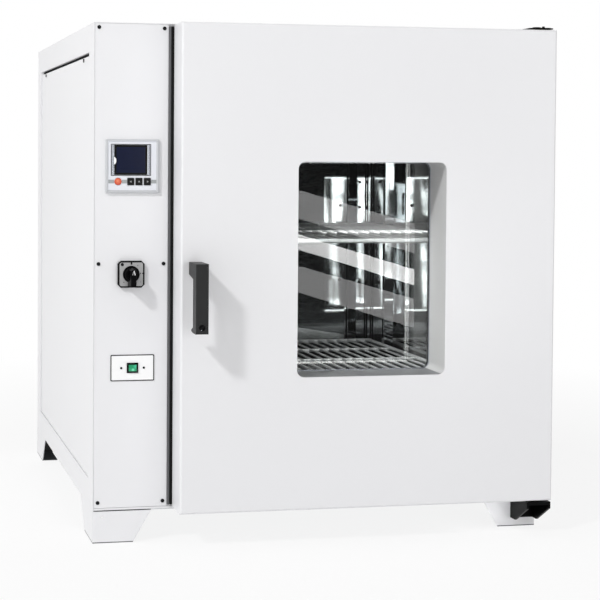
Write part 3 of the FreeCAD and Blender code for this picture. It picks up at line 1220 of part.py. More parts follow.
def make_cam_knob():
    """Round knob with its shaft, and a tall grip, pointed at its top end, that narrows to its
    crest and reaches past the round base at the bottom."""
    y1 = -CAM_PLATE - SEAT
    y0 = y1 - CAM_KNOB_BASE
    base = Part.makeCone(CAM_KNOB_RADIUS, CAM_KNOB_RADIUS - 1.5, CAM_KNOB_BASE,
                         Vector(CAM_X, y1, CAM_CENTRE_Z), Vector(0, -1, 0))
    crest_y = y1 - CAM_GRIP_HEIGHT
    top, low = CAM_CENTRE_Z + CAM_GRIP_OVER, CAM_CENTRE_Z + CAM_GRIP_OVER - CAM_GRIP_LENGTH
    loops = []
    for y, half, drawn in ((y1, CAM_GRIP_ROOT / 2, 0.0), (crest_y, CAM_GRIP_CREST / 2, CAM_GRIP_TAPER)):
        tip = top - drawn
        shoulder = tip - CAM_GRIP_POINT
        corners = [Vector(CAM_X - half, y, low + drawn), Vector(CAM_X + half, y, low + drawn),
                   Vector(CAM_X + half, y, shoulder), Vector(CAM_X, y, tip),
                   Vector(CAM_X - half, y, shoulder)]
        loops.append(Part.makePolygon(corners + corners[:1]))
    grip = Part.makeLoft(loops, True, True)
    rim = [edge for edge in grip.Edges if edge.BoundBox.YMax < crest_y + 1e-6]
    grip = grip.makeFillet(1.5, rim)
    shaft = rod(CAM_SHAFT_RADIUS, (CAM_X, y0, CAM_CENTRE_Z),
                (CAM_X, CAM_BODY_DEPTH / 2 - SEAT, CAM_CENTRE_Z))
    return base.fuse([grip, shaft])


def make_switch_plate():
    """Flat plate that carries the lamp switch, screwed to the cover."""
    half_w, half_h = SWITCH_PLATE_WIDTH / 2, SWITCH_PLATE_HEIGHT / 2
    plate = rounded_plate(SWITCH_X - half_w, SWITCH_X + half_w, SWITCH_CENTRE_Z - half_h,
                          SWITCH_CENTRE_Z + half_h, 1.5, -SWITCH_PLATE, 0)
    front = [edge for edge in plate.Edges if edge.BoundBox.YMax < -SWITCH_PLATE + 1e-6]
    plate = plate.makeChamfer(SWITCH_PLATE_CHAMFER, front)
    cuts = instrument_cuts(-SWITCH_PLATE - 1, 1)[2:]
    for side in (-1, 1):
        x = SWITCH_X + side * SWITCH_SCREW_SHIFT
        cuts.append(rod(SCREW_SHANK_RADIUS, (x, -SWITCH_PLATE - 1, SWITCH_CENTRE_Z), (x, 1, SWITCH_CENTRE_Z)))
    return plate.cut(cuts)


def make_switch_body():
    """Black frame of the lamp switch and the moulded body behind it, hollow for the rocker."""
    half, rise = SWITCH_FRAME_WIDTH / 2, SWITCH_FRAME_HEIGHT / 2
    wide, high = SWITCH_OPENING_WIDTH / 2, SWITCH_OPENING_HEIGHT / 2
    x, z = SWITCH_X, SWITCH_CENTRE_Z
    front = -SWITCH_PLATE - SWITCH_FRAME_PROUD
    block = box(x - half, x + half, front, SWITCH_BODY_DEPTH, z - rise, z + rise)
    rocker_depth = ROCKER_PIVOT_DEPTH + ROCKER_HEIGHT / 2 + 1
    hollow = box(x - wide, x + wide, front - 1, rocker_depth, z - high, z + high)
    bore = rod(ROCKER_PIN_RADIUS + SHAFT_RUNNING_GAP, (x - half - 1, ROCKER_PIVOT_DEPTH, z),
               (x + half + 1, ROCKER_PIVOT_DEPTH, z))
    return block.cut([hollow, bore])


def make_switch_rocker():
    """Green lens on its pivot pin: a shallow vee face and a rounded underside."""
    x, z = SWITCH_X, SWITCH_CENTRE_Z
    half_w, half_h = ROCKER_WIDTH / 2, ROCKER_HEIGHT / 2
    face = -SWITCH_PLATE - SWITCH_FRAME_PROUD - ROCKER_PROUD
    outline = [(x - half_w, face, z - half_h), (x - half_w, face + ROCKER_CROWN, z),
               (x - half_w, face, z + half_h), (x - half_w, ROCKER_PIVOT_DEPTH, z + half_h),
               (x - half_w, ROCKER_PIVOT_DEPTH + half_h * 0.7, z),
               (x - half_w, ROCKER_PIVOT_DEPTH, z - half_h)]
    lens = prism(outline, (ROCKER_WIDTH, 0, 0))
    reach = SWITCH_FRAME_WIDTH / 2
    pin = rod(ROCKER_PIN_RADIUS, (x - reach, ROCKER_PIVOT_DEPTH, z), (x + reach, ROCKER_PIVOT_DEPTH, z))
    return lens.fuse(pin)


def make_exhaust_spigot():
    """Vent tube from the chamber through the lagging, with a collar on the rear panel and a bead
    that stops the duct pushed over its free end."""
    y0, y1 = CHAMBER_BACK, DEPTH + EXHAUST_REACH
    tube = rod(EXHAUST_RADIUS, (EXHAUST_X, y0, EXHAUST_Z), (EXHAUST_X, y1, EXHAUST_Z))
    collar = rod(EXHAUST_RADIUS + EXHAUST_COLLAR, (EXHAUST_X, DEPTH, EXHAUST_Z),
                 (EXHAUST_X, DEPTH + EXHAUST_COLLAR_THICKNESS, EXHAUST_Z))
    bead_end = y1 - EXHAUST_FREE_END
    bead = rod(EXHAUST_RADIUS + EXHAUST_BEAD, (EXHAUST_X, bead_end - EXHAUST_BEAD, EXHAUST_Z),
               (EXHAUST_X, bead_end, EXHAUST_Z))
    bore = rod(EXHAUST_RADIUS - EXHAUST_WALL, (EXHAUST_X, y0 - 1, EXHAUST_Z),
               (EXHAUST_X, y1 + 1, EXHAUST_Z))
    spindle = rod(DAMPER_SPINDLE_RADIUS + SHAFT_RUNNING_GAP,
                  (EXHAUST_X, damper_y(), EXHAUST_Z - EXHAUST_RADIUS - 1),
                  (EXHAUST_X, damper_y(), EXHAUST_Z + EXHAUST_RADIUS + 1))
    return tube.fuse([collar, bead]).cut([bore, spindle])


def damper_y():
    return DEPTH + EXHAUST_COLLAR_THICKNESS + DAMPER_SETBACK


def make_exhaust_damper():
    """Round flap across the vent tube, its upright spindle and the lever above the tube."""
    y, z = damper_y(), EXHAUST_Z
    radius = EXHAUST_RADIUS - EXHAUST_WALL - DAMPER_GAP
    half = DAMPER_THICKNESS / 2
    flap = rod(radius, (EXHAUST_X, y - half, z), (EXHAUST_X, y + half, z))
    top = z + EXHAUST_RADIUS + DAMPER_LEVER_WIDTH
    spindle = rod(DAMPER_SPINDLE_RADIUS, (EXHAUST_X, y, z - EXHAUST_RADIUS), (EXHAUST_X, y, top))
    width = DAMPER_LEVER_WIDTH / 2
    lever = box(EXHAUST_X - width, EXHAUST_X + DAMPER_LEVER, y - width, y + width,
                top - DAMPER_SPINDLE_RADIUS, top)
    return flap.fuse([spindle, lever])


def make_cable_gland():
    """Threaded entry for the supply cable: hexagon on the panel, domed nut, and a bore."""
    x, z = GLAND_X, GLAND_CENTRE_Z
    stem = rod(GLAND_RADIUS, (x, REAR_INNER - GLAND_RADIUS, z), (x, DEPTH, z))
    nut = hexagon_y(x, z, GLAND_NUT_RADIUS, DEPTH, DEPTH + GLAND_HEIGHT / 3)
    dome = Part.makeCone(GLAND_NUT_RADIUS * 0.86, GLAND_BORE + 2, GLAND_HEIGHT * 2 / 3,
                         Vector(x, DEPTH + GLAND_HEIGHT / 3, z), Vector(0, 1, 0))
    bore = rod(GLAND_BORE, (x, REAR_INNER - GLAND_RADIUS - 1, z), (x, DEPTH + GLAND_HEIGHT + 1, z))
    return stem.fuse([nut, dome]).cut(bore)


def main():
    os.makedirs("parts", exist_ok=True)
    pieces = {
        "left_side_panel": make_left_side_panel(),
        "left_access_cover": make_access_cover(),
        "right_side_panel": make_right_side_panel(),
        "top_cover": make_top_cover(),
        "bottom_panel": make_bottom_panel(),
        "rear_panel": make_rear_panel(),
        "front_frame": make_front_frame(),
        "column_partition": make_column_partition(),
        "column_cover": make_column_cover(),
        "panel_screws": make_panel_screws(),
        "chamber_lagging": make_lagging(),
        "air_baffle": make_air_baffle(),
        "baffle_screws": make_baffle_screws(),
        "fan_impeller": make_fan_impeller(),
        "fan_shaft": make_fan_shaft(),
        "fan_motor": make_fan_motor(),
        "motor_cover": make_motor_cover(),
        "ring_heater": make_heater(),
        "temperature_probe": make_temperature_probe(),
        "left_shelf_rails": shelf_rails(-1),
        "right_shelf_rails": shelf_rails(1),
        "lower_shelf": make_shelf(SHELF_LEVELS[0]),
        "upper_shelf": make_shelf(SHELF_LEVELS[1]),
        "door_gasket": make_door_gasket(),
        "latch_keeper": make_latch_keeper(),
        "door_outer_skin": make_door_outer_skin(),
        "door_window_collar": make_window_tunnel(),
        "door_inner_panel": make_door_inner_panel(),
        "door_lagging": make_door_lagging(),
        "door_glass_seal": make_glass_seal(),
        "door_glass_frame": make_glass_frame(),
        "handle_bush": make_handle_bush(),
        "door_handle": make_door_handle(),
        "latch_spindle": make_latch_spindle(),
        "lower_hinge_bracket": make_lower_hinge_bracket(),
        "upper_hinge_bracket": make_upper_hinge_bracket(),
        "hinge_fasteners": make_hinge_fasteners(),
        "hinge_bushes": make_hinge_bushes(),
        "controller_housing": make_controller_housing(),
        "controller_screen": make_controller_screen(),
        "start_button": make_start_button(),
        "cam_switch": make_cam_switch(),
        "cam_knob": make_cam_knob(),
        "lamp_switch_plate": make_switch_plate(),
        "lamp_switch_body": make_switch_body(),
        "lamp_switch_rocker": make_switch_rocker(),
        "exhaust_spigot": make_exhaust_spigot(),
        "exhaust_damper": make_exhaust_damper(),
        "cable_gland": make_cable_gland(),
    }
    pieces.update(make_chamber_walls())
    pieces.update(make_glass_panes())
    for name, place in zip(("left_key", "middle_key", "right_key"), key_places()):
        pieces[name] = make_key(place)
    for name, shape in pieces.items():
        save(name, shape)


main()
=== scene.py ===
import math

import bpy
import numpy as np
from bpy.props import FloatProperty, FloatVectorProperty, PointerProperty
from mathutils import Matrix, Vector


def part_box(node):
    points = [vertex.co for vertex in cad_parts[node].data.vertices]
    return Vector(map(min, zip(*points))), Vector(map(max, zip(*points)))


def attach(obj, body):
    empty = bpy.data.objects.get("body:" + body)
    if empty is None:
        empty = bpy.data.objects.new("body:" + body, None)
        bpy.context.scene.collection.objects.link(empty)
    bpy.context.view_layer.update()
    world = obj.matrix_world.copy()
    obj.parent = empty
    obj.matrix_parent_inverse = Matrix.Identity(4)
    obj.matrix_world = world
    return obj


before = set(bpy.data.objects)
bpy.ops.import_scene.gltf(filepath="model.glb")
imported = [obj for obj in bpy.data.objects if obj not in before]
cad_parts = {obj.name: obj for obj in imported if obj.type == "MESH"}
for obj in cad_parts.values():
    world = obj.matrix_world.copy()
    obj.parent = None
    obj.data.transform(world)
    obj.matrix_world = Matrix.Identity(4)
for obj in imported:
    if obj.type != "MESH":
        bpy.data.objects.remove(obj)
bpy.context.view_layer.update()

bl_info = {
    "name": "Laboratory drying oven",
    "version": (1, 0, 0),
    "blender": (4, 5, 0),
    "location": "View3D > Sidebar > Drying oven",
    "description": "Finishes, small fittings and a studio for a floor-standing drying oven",
    "category": "Object",
}

MM = 0.001
WHITE = (1.0, 1.0, 1.0, 1.0)
# Strength of the boards that stand for a dark room
DARK = 0.05
# How far the bezel's face lies behind its rim, and how far prints and marks stand off a face
BEZEL_SUNK = 2.0 * MM
PRINT = 0.12 * MM

# How the chamber's two rear sheets lean back and bow, in the shares that lean() takes
REAR_LEAN = 0.0247
REAR_BOW = 0.0034
# Place of the camera in metres, and shift of its lens as a share of the picture's width
CAMERA_PLACE = (-0.83139, -3.50821, 0.69838)
LENS_SHIFT = (0.100, -0.1426)

# Corners of the bands that the panes mirror, in metres
GREY_UPPER = ((0.3266, -1.9, 0.5267), (0.815, -1.9, 0.3841), (0.815, -1.9, 0.4674),
              (0.326, -1.9, 0.6038))
BRIGHT_MIDDLE = ((0.3273, -1.9, 0.4436), (0.815, -1.9, 0.2946), (0.815, -1.9, 0.3385),
                 (0.327, -1.9, 0.4842))
GREY_LOWER = ((0.3282, -1.9, 0.3278), (0.815, -1.9, 0.1762), (0.815, -1.9, 0.261),
              (0.3276, -1.9, 0.3994))
# Upright strips of light that the chamber mirrors: left and right at the foot, foot height, left
# and right at the top, top height, strength
ROOM_STRIPS = (
    (-0.207, -0.202, 0.616, -0.2, -0.196, 0.733, 3.8),
    (-0.279, -0.266, 0.579, -0.264, -0.249, 0.747, 7.6),
    (-0.288, -0.281, 0.645, -0.292, -0.282, 0.747, 5.7),
    (-0.228, -0.22, 0.568, -0.218, -0.208, 0.733, 5.7),
    (-0.256, -0.246, 0.368, -0.261, -0.241, 0.755, 7.6),
    (-0.282, -0.272, 0.579, -0.291, -0.267, 0.755, 9.5),
    (-0.353, -0.338, 0.598, -0.329, -0.321, 0.733, 5.7),
    (-0.342, -0.334, 0.609, -0.355, -0.348, 0.733, 5.7),
    (-0.238, -0.235, 0.411, -0.235, -0.231, 0.503, 5.7),
    (-0.271, -0.266, 0.368, -0.264, -0.259, 0.503, 5.7),
    (-0.25, -0.239, 0.28, -0.244, -0.233, 0.364, 7.6),
    (-0.274, -0.254, 0.276, -0.267, -0.259, 0.375, 7.6),
    (-0.351, -0.334, 0.266, -0.34, -0.327, 0.503, 7.6),
    (-0.214, -0.209, 0.404, -0.213, -0.209, 0.503, 3.8),
)


def linear(hex_colour):
    """sRGB hex to linear red, green, blue and alpha: the low part is a straight line, the rest a
    power of 2.4."""
    channels = [int(hex_colour[start:start + 2], 16) / 255 for start in (1, 3, 5)]
    return tuple(value / 12.92 if value <= 0.04045 else ((value + 0.055) / 1.055) ** 2.4
                 for value in channels) + (1.0,)


def colour(name, description, hex_colour):
    """A colour that a user may change, from its sRGB hex."""
    return FloatVectorProperty(name=name, description=description, size=4, subtype="COLOR",
                               min=0.0, max=1.0, default=linear(hex_colour))


def power(name, description, watts):
    """A lamp's power that a user may change, in watts."""
    return FloatProperty(name=name, description=description, subtype="POWER", unit="POWER",
                         min=0.0, default=watts)


def angle(name, description, degrees):
    """An angle that a user may change, given in degrees and kept in radians."""
    return FloatProperty(name=name, description=description, subtype="ANGLE", unit="ROTATION",
                         default=math.radians(degrees))


def length(name, description, millimetres):
    """A length that a user may change, given in millimetres and kept in metres."""
    return FloatProperty(name=name, description=description, subtype="DISTANCE", unit="LENGTH",
                         min=0.0, precision=5, default=millimetres * MM)


# Settings

class OvenColours(bpy.types.PropertyGroup):
    """Base colours of the oven's finishes."""
    paint: colour("Cabinet paint", "White powder coat on the cabinet and the door", "#ebebed")
    # The collar's colour is the cabinet paint dulled with painted shade.
    collar: colour("Window collar", "Painted sheet round the pane, seen in its own shade", "#d4d4d4")
    hinge: colour("Hinge paint", "Black powder coat on the hinge brackets", "#040405")
    stainless: colour("Stainless steel", "Satin sheet of the inner door", "#b9babb")
    chamber: colour("Chamber steel", "Polished sheet of the chamber walls", "#c6c8ca")
    baffle: colour("Baffle steel", "Bright annealed sheet in front of the fan", "#c9cbcc")
    wire: colour("Shelf wire", "Bright drawn wire of the shelves", "#f2f3f4")
    zinc: colour("Zinc plating", "Blue passivated zinc on hidden sheet", "#a9adb0")
    oxide: colour("Black oxide", "Blackened screw heads", "#1b1b1d")
    handle: colour("Handle plastic", "Glass-filled nylon of the handle", "#101011")
    plastic: colour("Black plastic", "Moulded body of the selector and the gland", "#070708")
    bezel: colour("Bezel face", "White face of the panel controller", "#e6e8ee")
    bezel_rim: colour("Bezel rim", "Grey rim of the panel controller", "#c3c5c8")
    screen: colour("Screen", "Unlit display behind its cover", "#0c1430")
    button: colour("Start button", "Orange cap", "#cf4a1c")
    key: colour("Keys", "Black key caps", "#040405")
    glyph: colour("Key marks", "Light marks on the keys", "#9a9c9e")
    label: colour("Selector label", "Satin anodised plate under the knob", "#a9a9a9")
    plate: colour("Switch plate", "White plate of the lamp switch", "#fbfbfb")
    lens: colour("Green lens", "Translucent rocker", "#0c9c68")
    floor: colour("Floor", "Studio floor and backdrop", "#f7f7f7")


class OvenSizes(bpy.types.PropertyGroup):
    """Sizes of the small fittings."""
    rail_width: length("Screen rail width", "Bright strip at each end of the screen", 4.9)
    rail_height: length("Screen rail height", "How far the strip stands off the screen", 1.6)
    tab_height: length("Thumb tab height", "Height of the half-round tab", 13.4)
    tab_depth: length("Thumb tab reach", "How far the tab reaches over the screen", 4.2)
    stripe_height: length("Key stripe height", "Grey stripe behind the keys", 6.6)
    label_border: length("Selector border", "Black border left round the label", 2.9)
    screw_radius: length("Label screw radius", "Slotted screw of the selector label", 2.8)
    # Reach of the dark rim that shows round the switch plate.
    dark_rim_reach: length("Plate seal reach", "Dark seal that shows round the switch plate", 1.7)
    paint_grain: length("Paint grain", "Wave of the powder coat's surface", 1.6)
    edge: length("Softened edge", "Radius that bent sheet edges show", 0.7)


class OvenStudio(bpy.types.PropertyGroup):
    """Light and camera of the studio."""
    world: FloatProperty(name="Room light", description="Strength of the even light from all round",
                         min=0.0, default=0.47)
    key: power("Key light", "Power of the lamp high at the left", 226.0)
    fill: power("Fill light", "Power of the lamp at the front", 25.0)
    side: power("Side light", "Power of the lamp beside the left wall", 16.5)
    chamber: power("Chamber light", "Power of the lamp in the chamber", 0.4)
    rod: power("Rod light", "Power of the lamp at the upper shelf's rod", 0.5)
    shelf: power("Shelf light", "Power of the lamp over the lower shelf", 1.6)
    foot: power("Foot light", "Power of the lamp under the door", 0.03)
    lens: FloatProperty(name="Lens", description="Focal length on a 36 mm sensor", min=1.0,
                        subtype="DISTANCE_CAMERA", default=104.20)
    yaw: angle("Camera turn", "Angle to the right of the depth axis", 12.463)
    pitch: angle("Camera tilt", "Angle below the horizon", 2.0)
    roll: angle("Camera roll", "Angle about the line of sight", 0.367)


def colours():
    """The oven's colours as they are set now."""
    return bpy.context.scene.oven_colours


def sizes():
    """The sizes of the small fittings as they are set now."""
    return bpy.context.scene.oven_sizes


def front_of(name):
    """Middle of a CAD node seen from the front, as X and Z, and its half width and half height."""
    low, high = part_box(name)
    return (((low[0] + high[0]) / 2, (low[2] + high[2]) / 2),
            ((high[0] - low[0]) / 2, (high[2] - low[2]) / 2))


# Materials

def add(tree, kind, inputs=None, **settings):
    """One node: settings are its own properties, and inputs are values or the outputs that feed
    them."""
    node = tree.nodes.new(kind)
    for name, value in settings.items():
        setattr(node, name, value)
    for name, value in (inputs or {}).items():
        if isinstance(value, bpy.types.NodeSocket):
            tree.links.new(value, node.inputs[name])
        else:
            node.inputs[name].default_value = value
    return node


def empty_material(name):
    """A material with an empty node tree, and that tree."""
    material = bpy.data.materials.new(name)
    material.use_nodes = True
    material.node_tree.nodes.clear()
    return material, material.node_tree


def per_metre(millimetres):
    """Noise scale whose features repeat about once in that many millimetres."""
    return 1.0 / (millimetres * MM)


def shift(value, amount):
    """The same colour, lighter or darker by a share of itself."""
    return tuple(min(1.0, part * (1 + amount)) for part in value[:3]) + (1.0,)


def finish(name, base, roughness, grain_mm, grain_depth_mm, metallic=0.0, ior=1.5,
           stretch=(1, 1, 1), mottle_mm=120.0, mottle=0.02, rough_spread=0.04, edge_mm=0.7,
           coat=0.0, coat_roughness=0.1, sheen=0.0, detail=2.0, specular=0.5):
    """A surface with a slow drift of colour, a finer drift of roughness, and a grain in its bump.
    The grain is noise whose wave is given in millimetres and may be stretched along one axis."""
    material, tree = empty_material(name)
    place = add(tree, "ShaderNodeTexCoord").outputs["Object"]
    run = add(tree, "ShaderNodeMapping", {"Vector": place, "Scale": stretch}).outputs["Vector"]
    cloud = add(tree, "ShaderNodeTexNoise", {"Vector": place, "Scale": per_metre(mottle_mm),
                                             "Detail": 3.0})
    tint = add(tree, "ShaderNodeMix", {0: cloud.outputs["Fac"], 6: shift(base, -mottle),
                                       7: shift(base, mottle)}, data_type="RGBA")
    fine = add(tree, "ShaderNodeTexNoise", {"Vector": run, "Scale": per_metre(grain_mm),
                                            "Detail": detail})
    rough = add(tree, "ShaderNodeMapRange", {"Value": fine.outputs["Fac"], "From Min": 0.3,
                                             "From Max": 0.7, "To Min": roughness - rough_spread,
                                             "To Max": roughness + rough_spread})
    edge = add(tree, "ShaderNodeBevel", {"Radius": edge_mm * MM}, samples=4)
    bump = add(tree, "ShaderNodeBump", {"Height": fine.outputs["Fac"], "Strength": 1.0,
                                        "Distance": grain_depth_mm * MM,
                                        "Normal": edge.outputs["Normal"]})
    shader = add(tree, "ShaderNodeBsdfPrincipled", {
        "Base Color": tint.outputs[2], "Metallic": metallic, "Roughness": rough.outputs["Result"],
        "Normal": bump.outputs["Normal"], "Coat Weight": coat, "Coat Roughness": coat_roughness,
        "Sheen Weight": sheen})
    if metallic < 0.5:
        shader.inputs["IOR"].default_value = ior
        shader.inputs["Specular IOR Level"].default_value = specular
    add(tree, "ShaderNodeOutputMaterial", {"Surface": shader.outputs["BSDF"]})
    return material, tree, shader, place


def recolour(tree, shader, mask, other):
    """Where the mask is 1, the surface takes the other colour instead of its own."""
    own = shader.inputs["Base Color"].links[0].from_socket
    mix = add(tree, "ShaderNodeMix", {0: mask, 6: own, 7: other}, data_type="RGBA")
    tree.links.new(mix.outputs[2], shader.inputs["Base Color"])


def lean(tree, shader, place, lean_x, lean_z, bow_z):
    """Turn the shading as if the sheet leaned and bowed. Its height falls by lean_x for each metre
    of X, by lean_z for each metre of Z, and by bow_z for each square metre of Z."""
    parts = add(tree, "ShaderNodeSeparateXYZ", {"Vector": place})
    slope = add(tree, "ShaderNodeMath", {0: parts.outputs["X"], 1: -lean_x}, operation="MULTIPLY")
    curve = add(tree, "ShaderNodeMath", {0: parts.outputs["Z"], 1: -bow_z, 2: -lean_z},
                operation="MULTIPLY_ADD")
    fall = add(tree, "ShaderNodeMath", {0: curve.outputs[0], 1: parts.outputs["Z"],
                                        2: slope.outputs[0]}, operation="MULTIPLY_ADD")
    grain = shader.inputs["Normal"].links[0].from_node
    edge = grain.inputs["Normal"].links[0].from_socket
    bent = add(tree, "ShaderNodeBump", {"Height": fall.outputs[0], "Strength": 1.0,
                                        "Distance": 1.0, "Normal": edge})
    tree.links.new(bent.outputs["Normal"], grain.inputs["Normal"])


def near_point(tree, place, centre, radius):
    """1 at a place on the front, falling evenly to 0 at a distance from it across the front."""
    offset = add(tree, "ShaderNodeVectorMath", {0: place, 1: (centre[0], 0.0, centre[1])},
                 operation="SUBTRACT")
    flat = add(tree, "ShaderNodeVectorMath", {0: offset.outputs[0], 1: (1.0, 0.0, 1.0)},
               operation="MULTIPLY")
    reach = add(tree, "ShaderNodeVectorMath", {0: flat.outputs[0]}, operation="LENGTH")
    return add(tree, "ShaderNodeMapRange", {"Value": reach.outputs["Value"], "From Max": radius,
                                            "To Min": 1.0, "To Max": 0.0}).outputs["Result"]


def distance_from(tree, place, axis, middle):
    """How far one coordinate lies from a value, on either side of it."""
    parts = add(tree, "ShaderNodeSeparateXYZ", {"Vector": place})
    offset = add(tree, "ShaderNodeMath", {0: parts.outputs[axis], 1: middle}, operation="SUBTRACT")
    return add(tree, "ShaderNodeMath", {0: offset.outputs[0]}, operation="ABSOLUTE").outputs[0]


def between(tree, place, axis, low, high):
    """1 where one coordinate lies between two values, 0 elsewhere: its distance from their middle
    is less than half their distance."""
    away = distance_from(tree, place, axis, (low + high) / 2)
    return add(tree, "ShaderNodeMath", {0: away, 1: (high - low) / 2},
               operation="LESS_THAN").outputs[0]


def below(tree, place, height):
    """1 under a height, 0 over it."""
    parts = add(tree, "ShaderNodeSeparateXYZ", {"Vector": place})
    return add(tree, "ShaderNodeMath", {0: parts.outputs["Z"], 1: height},
               operation="LESS_THAN").outputs[0]


def outside_square(tree, place, centre, half_width, half_height):
    """1 outside an upright rectangle on the front, 0 inside it: the larger of the two distances
    from its centre, each over its half size, compared with 1."""
    shares = []
    for axis, middle, half in (("X", centre[0], half_width), ("Z", centre[1], half_height)):
        away = distance_from(tree, place, axis, middle)
        shares.append(add(tree, "ShaderNodeMath", {0: away, 1: half}, operation="DIVIDE").outputs[0])
    larger = add(tree, "ShaderNodeMath", {0: shares[0], 1: shares[1]}, operation="MAXIMUM")
    return add(tree, "ShaderNodeMath", {0: larger.outputs[0], 1: 1.0},
               operation="GREATER_THAN").outputs[0]


def white_powder_coat():
    """Polyester powder coat, baked on sheet steel: satin, with a faint orange peel. Painted shade
    darkens the lower edge of the legs, and makes the inner face of the rear leg plates nearly black."""
    material, tree, shader, place = finish("white_powder_coat", colours().paint, 0.34,
                                           sizes().paint_grain / MM, 0.006, mottle_mm=260.0,
                                           mottle=0.006, edge_mm=sizes().edge / MM, coat=0.15,
                                           coat_roughness=0.22)
    # Painted shade: the lowest 1.7 mm of the legs is darkened for the shadow where they meet the
    # floor.
    recolour(tree, shader, below(tree, place, 1.7 * MM), linear("#4c4e50"))
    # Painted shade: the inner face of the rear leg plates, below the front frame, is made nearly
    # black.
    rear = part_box("left_side_panel")[1][1]
    inner = between(tree, place, "Y", rear - 2.2 * MM, rear - 0.6 * MM)
    under = below(tree, place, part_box("front_frame")[0][2])
    leg = add(tree, "ShaderNodeMath", {0: inner, 1: under}, operation="MULTIPLY")
    recolour(tree, shader, leg.outputs[0], linear("#0c0c0d"))
    return material


def collar_powder_coat():
    """The same coat on the folded window collar, its colour dulled with painted shade of the door,
    and darker still with painted shade on the sill."""
    material, tree, shader, place = finish("collar_powder_coat", colours().collar, 0.45,
                                           sizes().paint_grain / MM, 0.006, mottle_mm=200.0,
                                           mottle=0.01, edge_mm=sizes().edge / MM)
    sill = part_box("door_window_collar")[0][2] + 3.0 * MM
    # Painted shade: the sill, up to 3 mm over the collar's foot, takes a mid grey.
    recolour(tree, shader, below(tree, place, sill), linear("#868789"))
    return material


def black_powder_coat():
    """Black powder coat on thick hinge plate: a coarser peel that breaks up its highlights."""
    return finish("black_powder_coat", colours().hinge, 0.38, 1.4, 0.03, mottle=0.1, mottle_mm=30.0,
                  edge_mm=0.8, specular=0.06)[0]


def black_oxide_steel():
    """Blackened steel screws: dark metal with a small sharp glint."""
    return finish("black_oxide_steel", colours().oxide, 0.28, 0.8, 0.01, metallic=0.9, mottle=0.15,
                  mottle_mm=4.0, edge_mm=0.4)[0]


def satin_stainless():
    """Ground stainless sheet: fine lines along its width that stretch its highlights. The grit's
    own lines are under 0.1 mm and are drawn at 0.6 mm so that they show."""
    return finish("satin_stainless", colours().stainless, 0.27, 0.6, 0.008, metallic=1.0,
                  stretch=(0.04, 1, 1), mottle=0.04, rough_spread=0.06)[0]


def polished_chamber_steel():
    """Cold rolled mirror-like sheet that pulls a little between its welds, so that upright edges
    waver in it."""
    return finish("polished_chamber_steel", colours().chamber, 0.025, 110.0, 0.08, metallic=1.0,
                  stretch=(1, 1, 0.25), mottle=0.04, rough_spread=0.01, detail=1.0)[0]


def polished_rear_steel():
    """The polished sheet at the chamber's rear, which leans back a little and bows."""
    material, tree, shader, place = finish("polished_rear_steel", colours().chamber, 0.025, 80.0,
                                           0.08, metallic=1.0, stretch=(1, 1, 0.25), mottle=0.04,
                                           rough_spread=0.01, detail=1.0)
    lean(tree, shader, place, 0.0, REAR_LEAN, REAR_BOW)
    return material


def wavy_baffle_steel():
    """Bright annealed thin sheet: it ripples from side to side, so that what it mirrors breaks
    into upright streaks."""
    material, tree, shader, place = finish("wavy_baffle_steel", colours().baffle, 0.025, 60.0, 0.1,
                                           metallic=1.0, stretch=(1, 1, 0.12), mottle=0.03,
                                           rough_spread=0.01, detail=1.0)
    lean(tree, shader, place, 0.028, REAR_LEAN, REAR_BOW)
    return material


def bright_wire():
    """Electropolished round wire: pale metal that spreads its highlight along each rod."""
    return finish("bright_wire", colours().wire, 0.3, 0.8, 0.01, metallic=0.6, mottle=0.05,
                  mottle_mm=20.0, edge_mm=1.0)[0]


def zinc_plate():
    """Zinc plated sheet: pale blue-grey crystals a few millimetres across."""
    material, tree, shader, place = finish("zinc_plate", colours().zinc, 0.42, 1.2, 0.01,
                                           metallic=1.0, mottle=0.05)
    flakes = add(tree, "ShaderNodeTexVoronoi", {"Vector": place, "Scale": per_metre(7.0)})
    tone = add(tree, "ShaderNodeMapRange", {"Value": flakes.outputs["Distance"], "From Max": 0.7,
                                            "To Max": 0.22})
    recolour(tree, shader, tone.outputs["Result"], shift(colours().zinc, 0.35))
    return material


def cast_aluminium():
    """Die cast motor shell: grainy pale metal."""
    return finish("cast_aluminium", linear("#9c9ea1"), 0.5, 1.0, 0.06, metallic=1.0, mottle=0.08,
                  mottle_mm=15.0)[0]


def scaled_sheath():
    """Heater sheath after many hours of heat: brown-grey scale with blue patches."""
    material, tree, shader, place = finish("scaled_sheath", linear("#5a5049"), 0.5, 1.5, 0.03,
                                           metallic=0.9, mottle=0.15, mottle_mm=25.0)
    heat = add(tree, "ShaderNodeTexNoise", {"Vector": place, "Scale": per_metre(40.0)})
    mask = add(tree, "ShaderNodeMapRange", {"Value": heat.outputs["Fac"], "From Min": 0.5,
                                            "From Max": 0.7, "To Max": 0.7})
    recolour(tree, shader, mask.outputs["Result"], linear("#4a5568"))
    return material


def turned_brass():
    """Turned brass: yellow metal with a fine tooth."""
    return finish("turned_brass", linear("#c2a05a"), 0.26, 0.5, 0.01, metallic=1.0, mottle=0.06,
                  mottle_mm=8.0)[0]


def grey_silicone():
    """Dull dark grey strip that paints the shade on the front frame beside the black gasket."""
    return finish("grey_silicone", linear("#5a5b5d"), 0.6, 1.5, 0.03, mottle=0.15, mottle_mm=30.0,
                  ior=1.42)[0]


def mineral_wool():
    """Packed mineral wool: dull ochre fibres in soft clumps."""
    return finish("mineral_wool", linear("#b9ad72"), 0.95, 2.0, 1.2, mottle=0.2, mottle_mm=25.0,
                  detail=8.0, sheen=0.3)[0]


